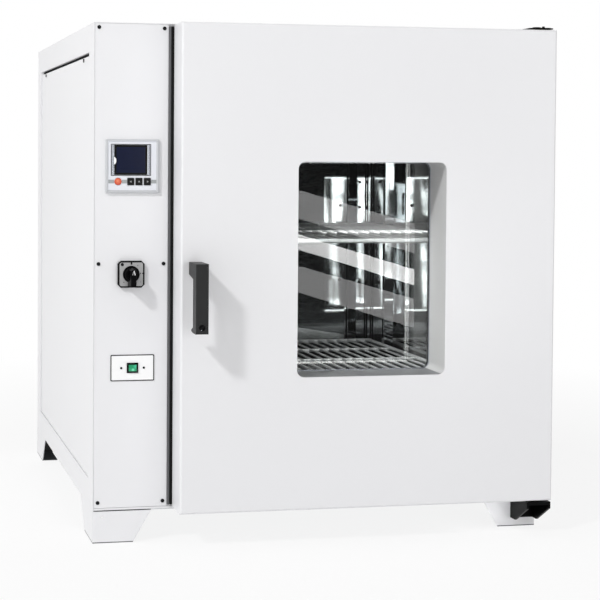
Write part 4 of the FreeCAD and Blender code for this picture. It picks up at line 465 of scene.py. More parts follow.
def black_silicone():
    """Extruded silicone rubber: dull near-black with a soft edge light."""
    return finish("black_silicone", linear("#060607"), 0.6, 1.5, 0.03, mottle=0.2, mottle_mm=30.0,
                  ior=1.42, sheen=0.05, specular=0.15)[0]


def moulded_black():
    """Black thermoplastic from a polished mould: deep black with clear highlights."""
    return finish("moulded_black", colours().plastic, 0.2, 1.2, 0.006, mottle=0.2, mottle_mm=20.0,
                  edge_mm=0.6, specular=0.04)[0]


def grained_nylon():
    """Glass-filled nylon from an etched mould: dark grey, with a fine grain that dulls it."""
    return finish("grained_nylon", colours().handle, 0.45, 0.9, 0.04, mottle=0.08, mottle_mm=30.0,
                  edge_mm=1.0, specular=0.35)[0]


def bezel_plastic():
    """ABS bezel with a white face inside a grey rim, and a grey body behind."""
    material, tree, shader, place = finish("bezel_plastic", colours().bezel, 0.36, 0.8, 0.01,
                                           mottle=0.01, edge_mm=0.4)
    low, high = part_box("controller_housing")
    left, right, foot, top = (low[0] + 3.2 * MM, high[0] - 5.0 * MM, low[2] + 5.4 * MM,
                              high[2] - 2.7 * MM)
    rim = outside_square(tree, place, ((left + right) / 2, (foot + top) / 2), (right - left) / 2,
                         (top - foot) / 2)
    recolour(tree, shader, rim, colours().bezel_rim)
    return material


def screen_cover():
    """Glossy cover over an unlit display: blue-black glass in a black surround."""
    material, tree, shader, place = finish("screen_cover", colours().screen, 0.12, 3.0, 0.002,
                                           mottle=0.18, mottle_mm=40.0, edge_mm=0.3,
                                           specular=0.12)
    centre, (half_x, half_z) = front_of("controller_screen")
    border = outside_square(tree, place, centre, half_x - 8.5 * MM, half_z - 3.6 * MM)
    recolour(tree, shader, border, linear("#040405"))
    return material


def bright_strip():
    """Polished aluminium strip: pale mirror-like metal."""
    return finish("bright_strip", linear("#bfc3ca"), 0.22, 0.6, 0.004, metallic=1.0,
                  stretch=(1, 1, 0.05), mottle=0.03, edge_mm=0.2)[0]


def tab_plastic():
    """White moulded plastic tab: bright, with a soft shine."""
    return finish("tab_plastic", linear("#fafafa"), 0.35, 0.8, 0.01, mottle=0.01, edge_mm=0.3)[0]


def printed_grey():
    """Grey screen print on the bezel: flat, a little duller than the plastic."""
    return finish("printed_grey", linear("#a3a7a8"), 0.5, 0.6, 0.004, mottle=0.04, mottle_mm=6.0,
                  edge_mm=0.1)[0]


def orange_cap():
    """Domed acrylic cap: saturated orange, with a painted highlight where its dome faces the light.
    """
    material, tree, shader, place = finish("orange_cap", colours().button, 0.22, 2.0, 0.004,
                                           mottle=0.06, mottle_mm=5.0, edge_mm=1.2, coat=0.5,
                                           coat_roughness=0.08)
    centre = front_of("start_button")[0]
    highlight_centre = (centre[0] - 1.0 * MM, centre[1] + 1.2 * MM)
    # Painted highlight: a paler orange round a point up and to the left of the cap's middle.
    recolour(tree, shader, near_point(tree, place, highlight_centre, 4.6 * MM), linear("#f2824f"))
    return material


def key_cap():
    """Moulded key cap: satin black with a soft highlight."""
    return finish("key_cap", colours().key, 0.32, 0.7, 0.01, mottle=0.2, mottle_mm=6.0,
                  edge_mm=0.5, specular=0.2)[0]


def key_print():
    """Screen print on the keys: flat light grey."""
    return finish("key_print", colours().glyph, 0.5, 0.5, 0.002, mottle=0.05, mottle_mm=3.0,
                  edge_mm=0.1)[0]


def green_lens():
    """Translucent green acrylic over a dark cell, with painted light: painted shade at its edges, a
    painted highlight at the upper right corner, and a small painted glow low down where light
    gathers."""
    material, tree, shader, place = finish("green_lens", colours().lens, 0.16, 3.0, 0.01,
                                           mottle=0.12, mottle_mm=6.0, edge_mm=0.9, specular=0.4)
    low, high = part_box("lamp_switch_rocker")
    centre = front_of("lamp_switch_rocker")[0]
    # Painted highlight: paler green at the upper right corner.
    glow = near_point(tree, place, (high[0] - 3.0 * MM, high[2] - 2.5 * MM), 7.0 * MM)
    recolour(tree, shader, glow, linear("#4fd8ac"))
    # Painted glow: a small bright patch low down.
    painted_glow_spot = near_point(tree, place, (centre[0] + 0.5 * MM, low[2] + 3.2 * MM), 3.4 * MM)
    recolour(tree, shader, painted_glow_spot, linear("#7df0c4"))
    # Painted shade: dark green round the edges.
    rim = outside_square(tree, place, centre, 6.6 * MM, (high[2] - low[2]) / 2 - 1.1 * MM)
    recolour(tree, shader, rim, linear("#064b2f"))
    return material


def switch_plate():
    """Bright white enamelled plate, glossier than the cabinet."""
    return finish("switch_plate", colours().plate, 0.24, 1.6, 0.004, mottle=0.004, edge_mm=0.5,
                  coat=0.4, coat_roughness=0.08)[0]


def label_plate():
    """Satin anodised aluminium label: grey metal with a fine matt tooth."""
    return finish("label_plate", colours().label, 0.45, 0.5, 0.01, metallic=0.25, mottle=0.07,
                  mottle_mm=3.0, edge_mm=0.2)[0]


def float_glass():
    """Toughened float glass: clear, with waves too slow to see but in what it mirrors. Lamps shine
    through it as through an open pane."""
    material, tree = empty_material("float_glass")
    place = add(tree, "ShaderNodeTexCoord").outputs["Object"]
    wave = add(tree, "ShaderNodeTexNoise", {"Vector": place, "Scale": per_metre(240.0),
                                            "Detail": 1.0})
    bump = add(tree, "ShaderNodeBump", {"Height": wave.outputs["Fac"], "Strength": 1.0,
                                        "Distance": 0.05 * MM})
    tint = add(tree, "ShaderNodeMix", {0: wave.outputs["Fac"], 6: linear("#fafcfb"),
                                       7: linear("#fdfefd")}, data_type="RGBA")
    glass = add(tree, "ShaderNodeBsdfPrincipled", {
        "Base Color": tint.outputs[2], "Roughness": 0.0, "IOR": 1.5, "Transmission Weight": 1.0,
        "Normal": bump.outputs["Normal"]})
    clear = add(tree, "ShaderNodeBsdfTransparent", {"Color": linear("#f4f6f5")})
    rays = add(tree, "ShaderNodeLightPath")
    pane = add(tree, "ShaderNodeMixShader", {0: rays.outputs["Is Shadow Ray"],
                                             1: glass.outputs["BSDF"], 2: clear.outputs["BSDF"]})
    add(tree, "ShaderNodeOutputMaterial", {"Surface": pane.outputs["Shader"]})
    return material


def dress(finishes):
    """Give CAD nodes their finishes: a dictionary of material function to node names."""
    for make, nodes in finishes.items():
        material = make()
        for name in nodes:
            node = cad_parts[name]
            if not node.material_slots:
                node.data.materials.append(material)
            for slot in node.material_slots:
                slot.material = material


# Shapes

def rounded_outline(half_width, half_height, corner, steps=6):
    """Outline of a rectangle with round corners, anticlockwise as seen from the front: four
    quarter circles whose centres stand in from the corners by the radius. Columns are X and Z."""
    turn = np.linspace(0.0, np.pi / 2, steps)[None, :] + np.arange(4)[:, None] * np.pi / 2
    side_x = np.array([1, -1, -1, 1])[:, None]
    side_z = np.array([1, 1, -1, -1])[:, None]
    x = side_x * (half_width - corner) + corner * np.cos(turn)
    z = side_z * (half_height - corner) + corner * np.sin(turn)
    return np.stack([x.ravel(), z.ravel()], axis=1)


def half_round_outline(reach, height, steps=24):
    """Outline of a half ellipse whose flat side stands on Z: reach times the cosine and half the
    height times the sine, from -90 to 90 degrees."""
    turn = np.linspace(-np.pi / 2, np.pi / 2, steps)
    return np.stack([reach * np.cos(turn), height / 2 * np.sin(turn)], axis=1)


def outward(points, faces):
    """The same shape with its faces turned to point outwards, for a closed shape: its volume is a
    sixth of the sum over its triangles of the box product of their corners, and must be positive.
    Faces is a list of whole arrays, one for each number of corners."""
    volume = 0.0
    for array in faces:
        corners = points[array]
        for step in range(1, array.shape[1] - 1):
            volume += np.einsum("ij,ij->i", corners[:, 0],
                                np.cross(corners[:, step], corners[:, step + 1])).sum()
    return points, [array[:, ::-1] for array in faces] if volume < 0 else faces


def add_piece(name, shapes, material, body):
    """An object from one or more shapes, with its finish, that rides on a body."""
    points, faces, count = [], [], 0
    for places, arrays in shapes:
        points.append(places)
        for array in arrays:
            faces += (array + count).tolist()
        count += len(places)
    mesh = bpy.data.meshes.new(name)
    mesh.from_pydata(np.concatenate(points).tolist(), [], faces)
    mesh.update()
    mesh.materials.append(material)
    piece = bpy.data.objects.new(name, mesh)
    bpy.context.scene.collection.objects.link(piece)
    if body:
        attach(piece, body)
    return piece


def grid_faces(rows, columns, closed):
    """Four-sided faces of a grid of points counted row by row: each joins two neighbours in one
    row with the same two in the next. Closed, the last column joins the first."""
    row = np.arange(rows - 1)[:, None] * columns
    column = np.arange(columns if closed else columns - 1)[None, :]
    after = (column + 1) % columns
    corners = np.stack([row + column, row + after, row + columns + after, row + columns + column],
                       axis=-1)
    return corners.reshape(-1, 4)


def closed_shape(rings, poles):
    """A closed shape from rings of points, one behind the other. Triangles round the first pole
    close the first ring, and triangles round the second pole the last."""
    rows, columns = rings.shape[:2]
    ring = np.arange(columns)
    after = (ring + 1) % columns
    last = (rows - 1) * columns
    start = np.stack([after, ring, np.full(columns, rows * columns)], axis=1)
    end = np.stack([last + ring, last + after, np.full(columns, rows * columns + 1)], axis=1)
    return outward(np.concatenate([rings.reshape(-1, 3), poles]),
                   [grid_faces(rows, columns, True), np.concatenate([start, end])])


def slab(outline, centre, front, back, edge, steps=4):
    """A flat plate seen from the front. Its rings are the outline at the back, then the outline
    drawn in and forward along a quarter circle of the edge radius, each scaled about its middle.
    Both faces are closed by triangles round a point in the middle."""
    outline = np.asarray(outline, float)
    middle = (outline.max(axis=0) + outline.min(axis=0)) / 2
    half = (outline.max(axis=0) - outline.min(axis=0)) / 2
    turn = np.linspace(0.0, np.pi / 2, steps)
    inset = np.concatenate([[0.0], edge * (1 - np.cos(turn))])
    depth = np.concatenate([[back], front + edge * (1 - np.sin(turn))])
    scale = 1 - inset[:, None, None] / half[None, None, :]
    flat = middle + (outline - middle)[None, :, :] * scale
    rings = np.stack([centre[0] + flat[..., 0], np.broadcast_to(depth[:, None], flat.shape[:2]),
                      centre[1] + flat[..., 1]], axis=-1)
    poles = np.array([[centre[0] + middle[0], back, centre[1] + middle[1]],
                      [centre[0] + middle[0], front, centre[1] + middle[1]]])
    return closed_shape(rings, poles)


def band(outer, inner, centre, front, back, edge):
    """A flat ring between two like outlines. Its section, carried round, is a rectangle whose
    front corners are cut by the edge size: outer back, outer front, the two cut corners on the
    front face, inner front, inner back, and back to the start."""
    bevel = edge / np.abs(outer - inner).max()
    section = ((0.0, back), (0.0, front + edge), (bevel, front), (1 - bevel, front),
               (1.0, front + edge), (1.0, back))
    rings = []
    for share, depth in section:
        flat = outer + (inner - outer) * share
        rings.append(np.stack([centre[0] + flat[:, 0], np.full(len(flat), depth),
                               centre[1] + flat[:, 1]], axis=1))
    points = np.stack(rings)
    rows, columns = points.shape[:2]
    faces = grid_faces(rows + 1, columns, True) % (rows * columns)
    return outward(points.reshape(-1, 3), [faces])


def half_round_bar(x0, x1, z0, z1, back, height, steps=9):
    """An upright strip with a rounded front: its section is half an ellipse over its width,
    carried from its foot to its top and closed at both ends. The section's back is flat."""
    turn = np.linspace(0.0, np.pi, steps)
    x = (x0 + x1) / 2 - (x1 - x0) / 2 * np.cos(turn)
    y = back - height * np.sin(turn)
    rings = np.stack([np.stack([x, y, np.full(steps, z)], axis=-1) for z in (z0, z1)])
    poles = np.array([[(x0 + x1) / 2, back, z0], [(x0 + x1) / 2, back, z1]])
    return closed_shape(rings, poles)


def slotted_head(centre, front, radius, height, slot, lean, rings=6, columns=48):
    """A screw head with a straight slot. Its height over the plate is a dome, the head height
    times the root of 1 less three quarters of the radius share to the fourth power, less the
    slot's depth where the distance from the slot's line is under half its width. The rim drops to
    the plate."""
    share = np.concatenate([np.linspace(0.06, 1.0, rings * 3), [1.0]])
    turn = np.linspace(0.0, 2 * np.pi, columns, endpoint=False)
    x = share[:, None] * radius * np.cos(turn)[None, :]
    z = share[:, None] * radius * np.sin(turn)[None, :]
    across = np.abs(-x * np.sin(lean) + z * np.cos(lean))
    dome = height * np.sqrt(np.clip(1 - 0.75 * share ** 4, 0.0, 1.0))[:, None]
    deep = np.where(across < slot / 2, height * 0.6, 0.0)
    y = front - dome + deep
    y[-1, :] = front
    poles = np.array([[centre[0], front - height * 0.4, centre[1]], [centre[0], front, centre[1]]])
    return closed_shape(np.stack([centre[0] + x, y, centre[1] + z], axis=-1), poles)


def arrow_outline(size, heading):
    """A plain triangle mark that points up at heading 0 and turns anticlockwise with it."""
    turn = heading + np.array([90, 210, 330]) * np.pi / 180
    return np.stack([size * np.cos(turn), size * np.sin(turn)], axis=1)


# Operators: one for each piece or group of like pieces

class OVEN_OT_finish_cabinet(bpy.types.Operator):
    """Finish the cabinet: its paint, its hidden sheet, its screws and its wool"""
    bl_idname = "oven.finish_cabinet"
    bl_label = "Finish cabinet"

    def execute(self, context):
        dress({
            white_powder_coat: ("left_side_panel", "left_access_cover", "right_side_panel",
                                "top_cover", "rear_panel", "front_frame", "column_cover",
                                "motor_cover", "door_outer_skin"),
            zinc_plate: ("bottom_panel", "column_partition", "latch_keeper", "fan_impeller",
                         "fan_shaft", "latch_spindle"),
            black_oxide_steel: ("panel_screws", "baffle_screws"),
            mineral_wool: ("chamber_lagging", "door_lagging"),
        })
        return {"FINISHED"}


class OVEN_OT_finish_door(bpy.types.Operator):
    """Finish the door: collar, panes, seal, inner sheet, handle and hinges"""
    bl_idname = "oven.finish_door"
    bl_label = "Finish door"

    def execute(self, context):
        dress({
            collar_powder_coat: ("door_window_collar",),
            satin_stainless: ("door_inner_panel", "door_glass_frame"),
            float_glass: ("door_outer_glass", "door_inner_glass"),
            black_silicone: ("door_gasket", "door_glass_seal"),
            grained_nylon: ("door_handle",),
            turned_brass: ("handle_bush", "hinge_bushes"),
            black_powder_coat: ("lower_hinge_bracket", "upper_hinge_bracket", "hinge_fasteners"),
        })
        return {"FINISHED"}


class OVEN_OT_finish_chamber(bpy.types.Operator):
    """Finish the chamber: walls, baffle, rails, shelves, heater and sensor"""
    bl_idname = "oven.finish_chamber"
    bl_label = "Finish chamber"

    def execute(self, context):
        dress({
            polished_chamber_steel: ("chamber_floor", "chamber_roof", "chamber_left_wall",
                                     "chamber_right_wall", "exhaust_spigot",
                                     "exhaust_damper", "left_shelf_rails", "right_shelf_rails",
                                     "temperature_probe"),
            polished_rear_steel: ("chamber_rear_wall",),
            wavy_baffle_steel: ("air_baffle",),
            bright_wire: ("lower_shelf", "upper_shelf"),
            scaled_sheath: ("ring_heater",),
            cast_aluminium: ("fan_motor",),
        })
        return {"FINISHED"}


class OVEN_OT_finish_controls(bpy.types.Operator):
    """Finish the controller, the selector, the lamp switch and the cable gland"""
    bl_idname = "oven.finish_controls"
    bl_label = "Finish controls"

    def execute(self, context):
        dress({
            bezel_plastic: ("controller_housing",),
            screen_cover: ("controller_screen",),
            orange_cap: ("start_button",),
            key_cap: ("left_key", "middle_key", "right_key"),
            moulded_black: ("cam_switch", "cam_knob", "lamp_switch_body", "cable_gland"),
            switch_plate: ("lamp_switch_plate",),
            green_lens: ("lamp_switch_rocker",),
        })
        return {"FINISHED"}


class OVEN_OT_chamber_trim(bpy.types.Operator):
    """Add the two seals and the bright bead at the chamber's rear corner, and its bolts"""
    bl_idname = "oven.chamber_trim"
    bl_label = "Add chamber trim"

    def execute(self, context):
        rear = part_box("chamber_rear_wall")[0][1]
        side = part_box("chamber_right_wall")[0][0]
        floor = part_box("chamber_floor")[1][2] + 1.0 * MM
        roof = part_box("chamber_roof")[0][2] - 1.0 * MM
        seals = [half_round_bar(side - 4.6 * MM, side - 0.4 * MM, floor, roof, rear - 24.0 * MM,
                                2.4 * MM),
                 half_round_bar(side - 56.0 * MM, side - 51.5 * MM, floor, roof, rear - 0.2 * MM,
                                1.6 * MM)]
        add_piece("corner_seals", seals, black_silicone(), "cabinet")
        bead = half_round_bar(side - 60.5 * MM, side - 59.3 * MM, floor, roof, rear - 0.2 * MM,
                              0.7 * MM)
        add_piece("corner_bead", [bead], bright_strip(), "cabinet")
        columns, heights = (46.0, 24.0, 7.0), (634.0, 575.0, 399.0)
        bolts = [slotted_head((side - column * MM, height * MM), rear - 0.1 * MM, 3.4 * MM,
                              2.2 * MM, 0.8 * MM, math.radians(30 + column))
                 for column in columns for height in heights]
        add_piece("rear_wall_bolts", bolts, black_oxide_steel(), "cabinet")
        return {"FINISHED"}


class OVEN_OT_glazing_bead(bpy.types.Operator):
    """Add the thin bright bead that holds the outer pane in its collar"""
    bl_idname = "oven.glazing_bead"
    bl_label = "Add glazing bead"

    def execute(self, context):
        centre, (half_x, half_z) = front_of("door_window_collar")
        wall, width, corner = 1.8 * MM, 1.6 * MM, 13.0 * MM
        half_x, half_z = half_x - wall, half_z - wall
        outer = rounded_outline(half_x, half_z, corner)
        inner = rounded_outline(half_x - width, half_z - width, corner - width)
        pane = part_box("door_outer_glass")[0][1]
        bead = band(outer, inner, centre, pane - 2.6 * MM, pane - 0.2 * MM, 0.3 * MM)
        add_piece("glazing_bead", [bead], bright_strip(), "door")
        return {"FINISHED"}


class OVEN_OT_controller_trim(bpy.types.Operator):
    """Add the screen's bright strips, its black surround and its thumb tab"""
    bl_idname = "oven.controller_trim"
    bl_label = "Add screen trim"

    def execute(self, context):
        low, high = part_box("controller_screen")
        rail = sizes().rail_width
        strips = [half_round_bar(x, x + rail, low[2], high[2], low[1], sizes().rail_height)
                  for x in (low[0], high[0] - rail)]
        add_piece("screen_strips", strips, bright_strip(), "cabinet")
        centre, (half_x, half_z) = front_of("controller_screen")
        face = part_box("controller_housing")[0][1] + BEZEL_SUNK
        surround = band(rounded_outline(half_x + 1.7 * MM, half_z + 1.7 * MM, 1.2 * MM),
                        rounded_outline(half_x + 0.6 * MM, half_z + 0.6 * MM, 0.3 * MM), centre,
                        face - PRINT, face, 0.05 * MM)
        add_piece("screen_surround", [surround], key_cap(), "cabinet")
        outline = half_round_outline(sizes().tab_depth, sizes().tab_height)
        tab = slab(outline, (low[0] + rail * 0.8, centre[1] - 1.5 * MM), low[1] - 2.2 * MM,
                   low[1], 0.7 * MM)
        add_piece("screen_tab", [tab], tab_plastic(), "cabinet")
        return {"FINISHED"}


class OVEN_OT_key_print(bpy.types.Operator):
    """Add the grey stripe behind the key row and the plain arrow marks on the keys"""
    bl_idname = "oven.key_print"
    bl_label = "Add key print"

    def execute(self, context):
        bezel_low, bezel_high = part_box("controller_housing")
        keys = [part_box(name) for name in ("start_button", "left_key", "middle_key", "right_key")]
        gap = 0.7 * MM
        ends = ((bezel_low[0] + 4.6 * MM, keys[0][0][0] - gap),
                (keys[0][1][0] + gap, keys[1][0][0] - gap),
                (keys[3][1][0] + gap, bezel_high[0] - 4.8 * MM))
        face = bezel_low[1] + BEZEL_SUNK
        middle = front_of("left_key")[0][1]
        stripes = []
        for x0, x1 in ends:
            outline = rounded_outline((x1 - x0) / 2, sizes().stripe_height / 2, 0.2 * MM)
            stripes.append(slab(outline, ((x0 + x1) / 2, middle), face - PRINT, face, 0.05 * MM,
                                2))
        add_piece("key_stripe", stripes, printed_grey(), "cabinet")
        marks = (("key_left", "left_key", math.pi / 2), ("key_middle", "middle_key", 0.0),
                 ("key_right", "right_key", -math.pi / 2))
        for body, key, heading in marks:
            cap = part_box(key)[0][1] + 0.02 * MM
            shape = slab(arrow_outline(2.2 * MM, heading), front_of(key)[0], cap - PRINT, cap,
                         0.03 * MM, 2)
            add_piece(key + "_mark", [shape], key_print(), body)
        return {"FINISHED"}


class OVEN_OT_selector_label(bpy.types.Operator):
    """Add the selector's satin label with its position marks and its slotted screw"""
    bl_idname = "oven.selector_label"
    bl_label = "Add selector label"

    def execute(self, context):
        (middle_x, middle_z), half_sizes = front_of("cam_switch")
        half = half_sizes[0] - sizes().label_border
        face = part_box("cam_switch")[0][1] + 0.15 * MM
        hole = rounded_outline(15.2 * MM, 15.2 * MM, 15.19 * MM, 12)
        outer = rounded_outline(half, half, 3.6 * MM, 12)
        plate = band(outer, hole, (middle_x, middle_z), face, face + 0.7 * MM, 0.1 * MM)
        add_piece("selector_label", [plate], label_plate(), "cabinet")
        top = face - PRINT
        marks = [slab(rounded_outline(1.5 * MM, 1.9 * MM, 0.3 * MM),
                      (middle_x + 0.3 * MM, middle_z + 19.2 * MM), top, face, 0.04 * MM, 2)]
        dots = ((11.8, 15.8, 0.8), (-13.3, -14.3, 0.8), (17.0, -13.9, 0.7), (-13.6, 2.0, 0.4))
        for x, z, radius in dots:
            marks.append(slab(rounded_outline(radius * MM, radius * MM, radius * 0.999 * MM, 5),
                              (middle_x + x * MM, middle_z + z * MM), top, face, 0.04 * MM, 2))
        for x in (16.6, 20.2):
            marks.append(slab(rounded_outline(0.7 * MM, 1.2 * MM, 0.3 * MM),
                              (middle_x + x * MM, middle_z + 1.5 * MM), top, face, 0.04 * MM, 2))
        add_piece("selector_marks", marks, key_cap(), "cabinet")
        head = slotted_head((middle_x - 16.4 * MM, middle_z + 17.6 * MM), face, sizes().screw_radius,
                            1.1 * MM, 0.9 * MM, math.radians(55))
        add_piece("selector_screw", [head], black_oxide_steel(), "cabinet")
        return {"FINISHED"}


class OVEN_OT_selector_pointer(bpy.types.Operator):
    """Add the white pointer let into the top end of the selector's grip, whose strokes are also a
    painted highlight
    """
    bl_idname = "oven.selector_pointer"
    bl_label = "Add selector pointer"

    def execute(self, context):
        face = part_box("cam_knob")[0][1] + 0.02 * MM
        strokes = []
        # Painted highlight: the wide right stroke and the thin left one follow the highlight on the
        # grip's end.
        for foot, wide in ((2.2, 1.7), (-2.4, 0.7)):
            outline = np.array([(0.0, 8.6), (foot - wide / 2, 0.4), (foot + wide / 2, 0.4),
                                (wide * 0.6, 8.2)]) * MM
            strokes.append(slab(outline, front_of("cam_switch")[0], face - PRINT, face, 0.03 * MM,
                                2))
        add_piece("selector_pointer", strokes, tab_plastic(), "selector")
        return {"FINISHED"}


class OVEN_OT_switch_seal(bpy.types.Operator):
    """Add the dark rim that shows round the lamp switch plate"""
    bl_idname = "oven.switch_seal"
    bl_label = "Add switch plate seal"

    def execute(self, context):
        centre, (half_x, half_z) = front_of("lamp_switch_plate")
        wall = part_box("lamp_switch_plate")[1][1]
        outer = rounded_outline(half_x + sizes().dark_rim_reach, half_z + sizes().dark_rim_reach, 2.0 * MM)
        inner = rounded_outline(half_x + 0.02 * MM, half_z + 0.02 * MM, 1.5 * MM)
        seal = band(outer, inner, centre, wall - 1.0 * MM, wall, 0.1 * MM)
        add_piece("switch_plate_seal", [seal], black_silicone(), "cabinet")
        return {"FINISHED"}


class OVEN_OT_frame_seals(bpy.types.Operator):
    """Add the grey strip of painted shade between column and gasket and the dark strip of painted
    shade under the column
    """
    bl_idname = "oven.frame_seals"
    bl_label = "Add frame seals"

    def execute(self, context):
        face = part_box("front_frame")[0][1]
        gasket_low, gasket_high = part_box("door_gasket")
        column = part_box("column_cover")[1][0]
        # Painted shade: a grey strip over the shaded front frame between the column and the gasket.
        strip = half_round_bar(column + 0.3 * MM, gasket_low[0] - 0.3 * MM, gasket_low[2],
                               gasket_high[2], face, 4.2 * MM)
        add_piece("column_edge_seal", [strip], grey_silicone(), "cabinet")
        # Painted shade: a thin black strip under the front frame's foot, for the shadow under the
        # column's lip.
        low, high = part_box("left_side_panel")
        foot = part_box("front_frame")[0][2]
        joint = half_round_bar(low[0] + 1.5 * MM, high[0] - 0.5 * MM, foot - 1.1 * MM,
                               foot + 0.3 * MM, face, 0.5 * MM)
        add_piece("leg_joint_seal", [joint], black_silicone(), "cabinet")
        return {"FINISHED"}


class OVEN_OT_handle_lock(bpy.types.Operator):
    """Add the plain lock face in the handle's round recess, with its slot and pin"""
    bl_idname = "oven.handle_lock"
    bl_label = "Add handle lock"

    def execute(self, context):
        low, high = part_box("door_handle")
        centre = ((low[0] + high[0]) / 2, low[2] + (high[0] - low[0]) / 2)
        head = slotted_head(centre, low[1] + 0.9 * MM, 5.4 * MM, 0.8 * MM, 1.1 * MM,
                            math.radians(45))
        add_piece("handle_lock", [head], moulded_black(), "handle")
        turn = math.radians(42)
        slot = rounded_outline(5.2 * MM, 1.7 * MM, 1.6 * MM)
        slot = slot @ np.array([[math.cos(turn), math.sin(turn)],
                                [-math.sin(turn), math.cos(turn)]])
        key_slot = slab(slot, centre, low[1] + 0.02 * MM, low[1] + 0.5 * MM, 0.1 * MM, 2)
        add_piece("lock_slot", [key_slot], black_silicone(), "handle")
        pin = slab(rounded_outline(1.2 * MM, 1.2 * MM, 1.19 * MM, 6),
                   (centre[0] - 1.8 * MM, centre[1] - 3.4 * MM), low[1] + 0.02 * MM,
                   low[1] + 0.9 * MM, 0.3 * MM, 3)
        add_piece("lock_pin", [pin], bright_strip(), "handle")
        return {"FINISHED"}


# Lamps: name, place, the point it faces, width, height, its setting, and whether metal mirrors it
LAMPS = (
    ("key_lamp", (-4.65, -4.25, 5.0), (0.0, -0.2, 0.5), 0.7, 0.7, "key", True),
    ("side_lamp", (-3.6, -1.2, 1.3), (-0.42, -0.1, 0.5), 2.0, 2.0, "side", True),
    ("fill_lamp", (1.6, -4.5, 0.9), (0.0, -0.4, 0.3), 2.5, 1.4, "fill", True),
    ("chamber_lamp", (0.05, -0.40, 0.80), (0.06, 0.0, 0.4), 0.3, 0.1, "chamber", False),
    ("rod_lamp", (0.06, -0.412, 0.566), (0.06, -0.386, 0.541), 0.5, 0.01, "rod", False),
    ("shelf_lamp", (0.2, -0.15, 0.52), (0.2, 0.1, 0.27), 0.25, 0.2, "shelf", False),
    ("foot_lamp", (0.32, -0.5, 0.02), (0.34, -0.44, 0.06), 0.16, 0.02, "foot", False),
)


def area_lamp(name, place, target, width, height, watts, mirrored):
    """A rectangular lamp that faces a point and is not seen by the camera itself."""
    data = bpy.data.lights.new(name, "AREA")
    data.shape, data.size, data.size_y = "RECTANGLE", width, height
    data.energy = watts
    lamp = bpy.data.objects.new(name, data)
    bpy.context.scene.collection.objects.link(lamp)
    lamp.location = place
    lamp.rotation_euler = (Vector(target) - Vector(place)).to_track_quat("-Z", "Y").to_euler()
    lamp.visible_camera = False
    lamp.visible_glossy = mirrored


def seen_share(tree):
    """1 for rays from the camera, from a mirror or through a pane, 0 for light on a surface."""
    rays = add(tree, "ShaderNodeLightPath")
    straight = add(tree, "ShaderNodeMath", {0: rays.outputs["Is Camera Ray"],
                                            1: rays.outputs["Is Glossy Ray"]},
                   operation="MAXIMUM")
    return add(tree, "ShaderNodeMath", {0: straight.outputs[0],
                                        1: rays.outputs["Is Transmission Ray"]},
               operation="MAXIMUM").outputs[0]


def studio_paper(base, near=0.84, far=1.0):
    """White paper sweep: matt, and lifted to white for the eye and for what mirrors it or shows
    it, less near the oven than away from it, so that the oven's shadow stays on it."""
    material, tree = empty_material("studio_paper")
    place = add(tree, "ShaderNodeTexCoord").outputs["Object"]
    cloud = add(tree, "ShaderNodeTexNoise", {"Vector": place, "Scale": 0.7, "Detail": 2.0})
    tint = add(tree, "ShaderNodeMix", {0: cloud.outputs["Fac"], 6: shift(base, -0.004), 7: base},
               data_type="RGBA")
    matt = add(tree, "ShaderNodeBsdfDiffuse", {"Color": tint.outputs[2]})
    glow = add(tree, "ShaderNodeEmission", {"Color": WHITE, "Strength": 1.0})
    reach = add(tree, "ShaderNodeVectorMath", {0: place}, operation="LENGTH")
    share = add(tree, "ShaderNodeMapRange", {"Value": reach.outputs["Value"], "From Min": 0.9,
                                             "From Max": 2.4, "To Min": near, "To Max": far})
    lift = add(tree, "ShaderNodeMath", {0: share.outputs["Result"], 1: seen_share(tree)},
               operation="MULTIPLY")
    paper = add(tree, "ShaderNodeMixShader", {0: lift.outputs[0], 1: matt.outputs["BSDF"],
                                              2: glow.outputs["Emission"]})
    add(tree, "ShaderNodeOutputMaterial", {"Surface": paper.outputs["Shader"]})
    return material


def board(name, corners, strength, seen_by="glossy", grain=6.0, low=0.8):
    """A lit or dark board beside the camera: the four corners blended over two parameters, bottom
    edge to top edge and left to right. Only one kind of ray sees it: glossy, for what the panes
    mirror, or transmission, for what the chamber mirrors through them. Its light varies between
    a low share and the whole."""
    across = np.linspace(0.0, 1.0, 9)[None, :, None]
    up = np.linspace(0.0, 1.0, 5)[:, None, None]
    bottom_left, bottom_right, top_right, top_left = [np.array(corner) for corner in corners]
    points = ((1 - up) * ((1 - across) * bottom_left + across * bottom_right)
              + up * ((1 - across) * top_left + across * top_right)).reshape(-1, 3)
    material, tree = empty_material(name)
    place = add(tree, "ShaderNodeTexCoord").outputs["Object"]
    cloud = add(tree, "ShaderNodeTexNoise", {"Vector": place, "Scale": grain, "Detail": 1.0})
    level = add(tree, "ShaderNodeMapRange", {"Value": cloud.outputs["Fac"], "From Min": 0.3,
                                             "From Max": 0.7, "To Min": strength * low,
                                             "To Max": strength})
    glow = add(tree, "ShaderNodeEmission", {"Color": WHITE, "Strength": level.outputs["Result"]})
    add(tree, "ShaderNodeOutputMaterial", {"Surface": glow.outputs["Emission"]})
    piece = add_piece(name, [(points, [grid_faces(5, 9, False)])], material, None)
    for ray in ("camera", "diffuse", "glossy", "transmission", "volume_scatter", "shadow"):
        setattr(piece, "visible_" + ray, ray == seen_by)


def upright(x0, x1, y, z0, z1):
    """Corners of an upright rectangle that faces the oven."""
    return ((x0, y, z0), (x1, y, z0), (x1, y, z1), (x0, y, z1))


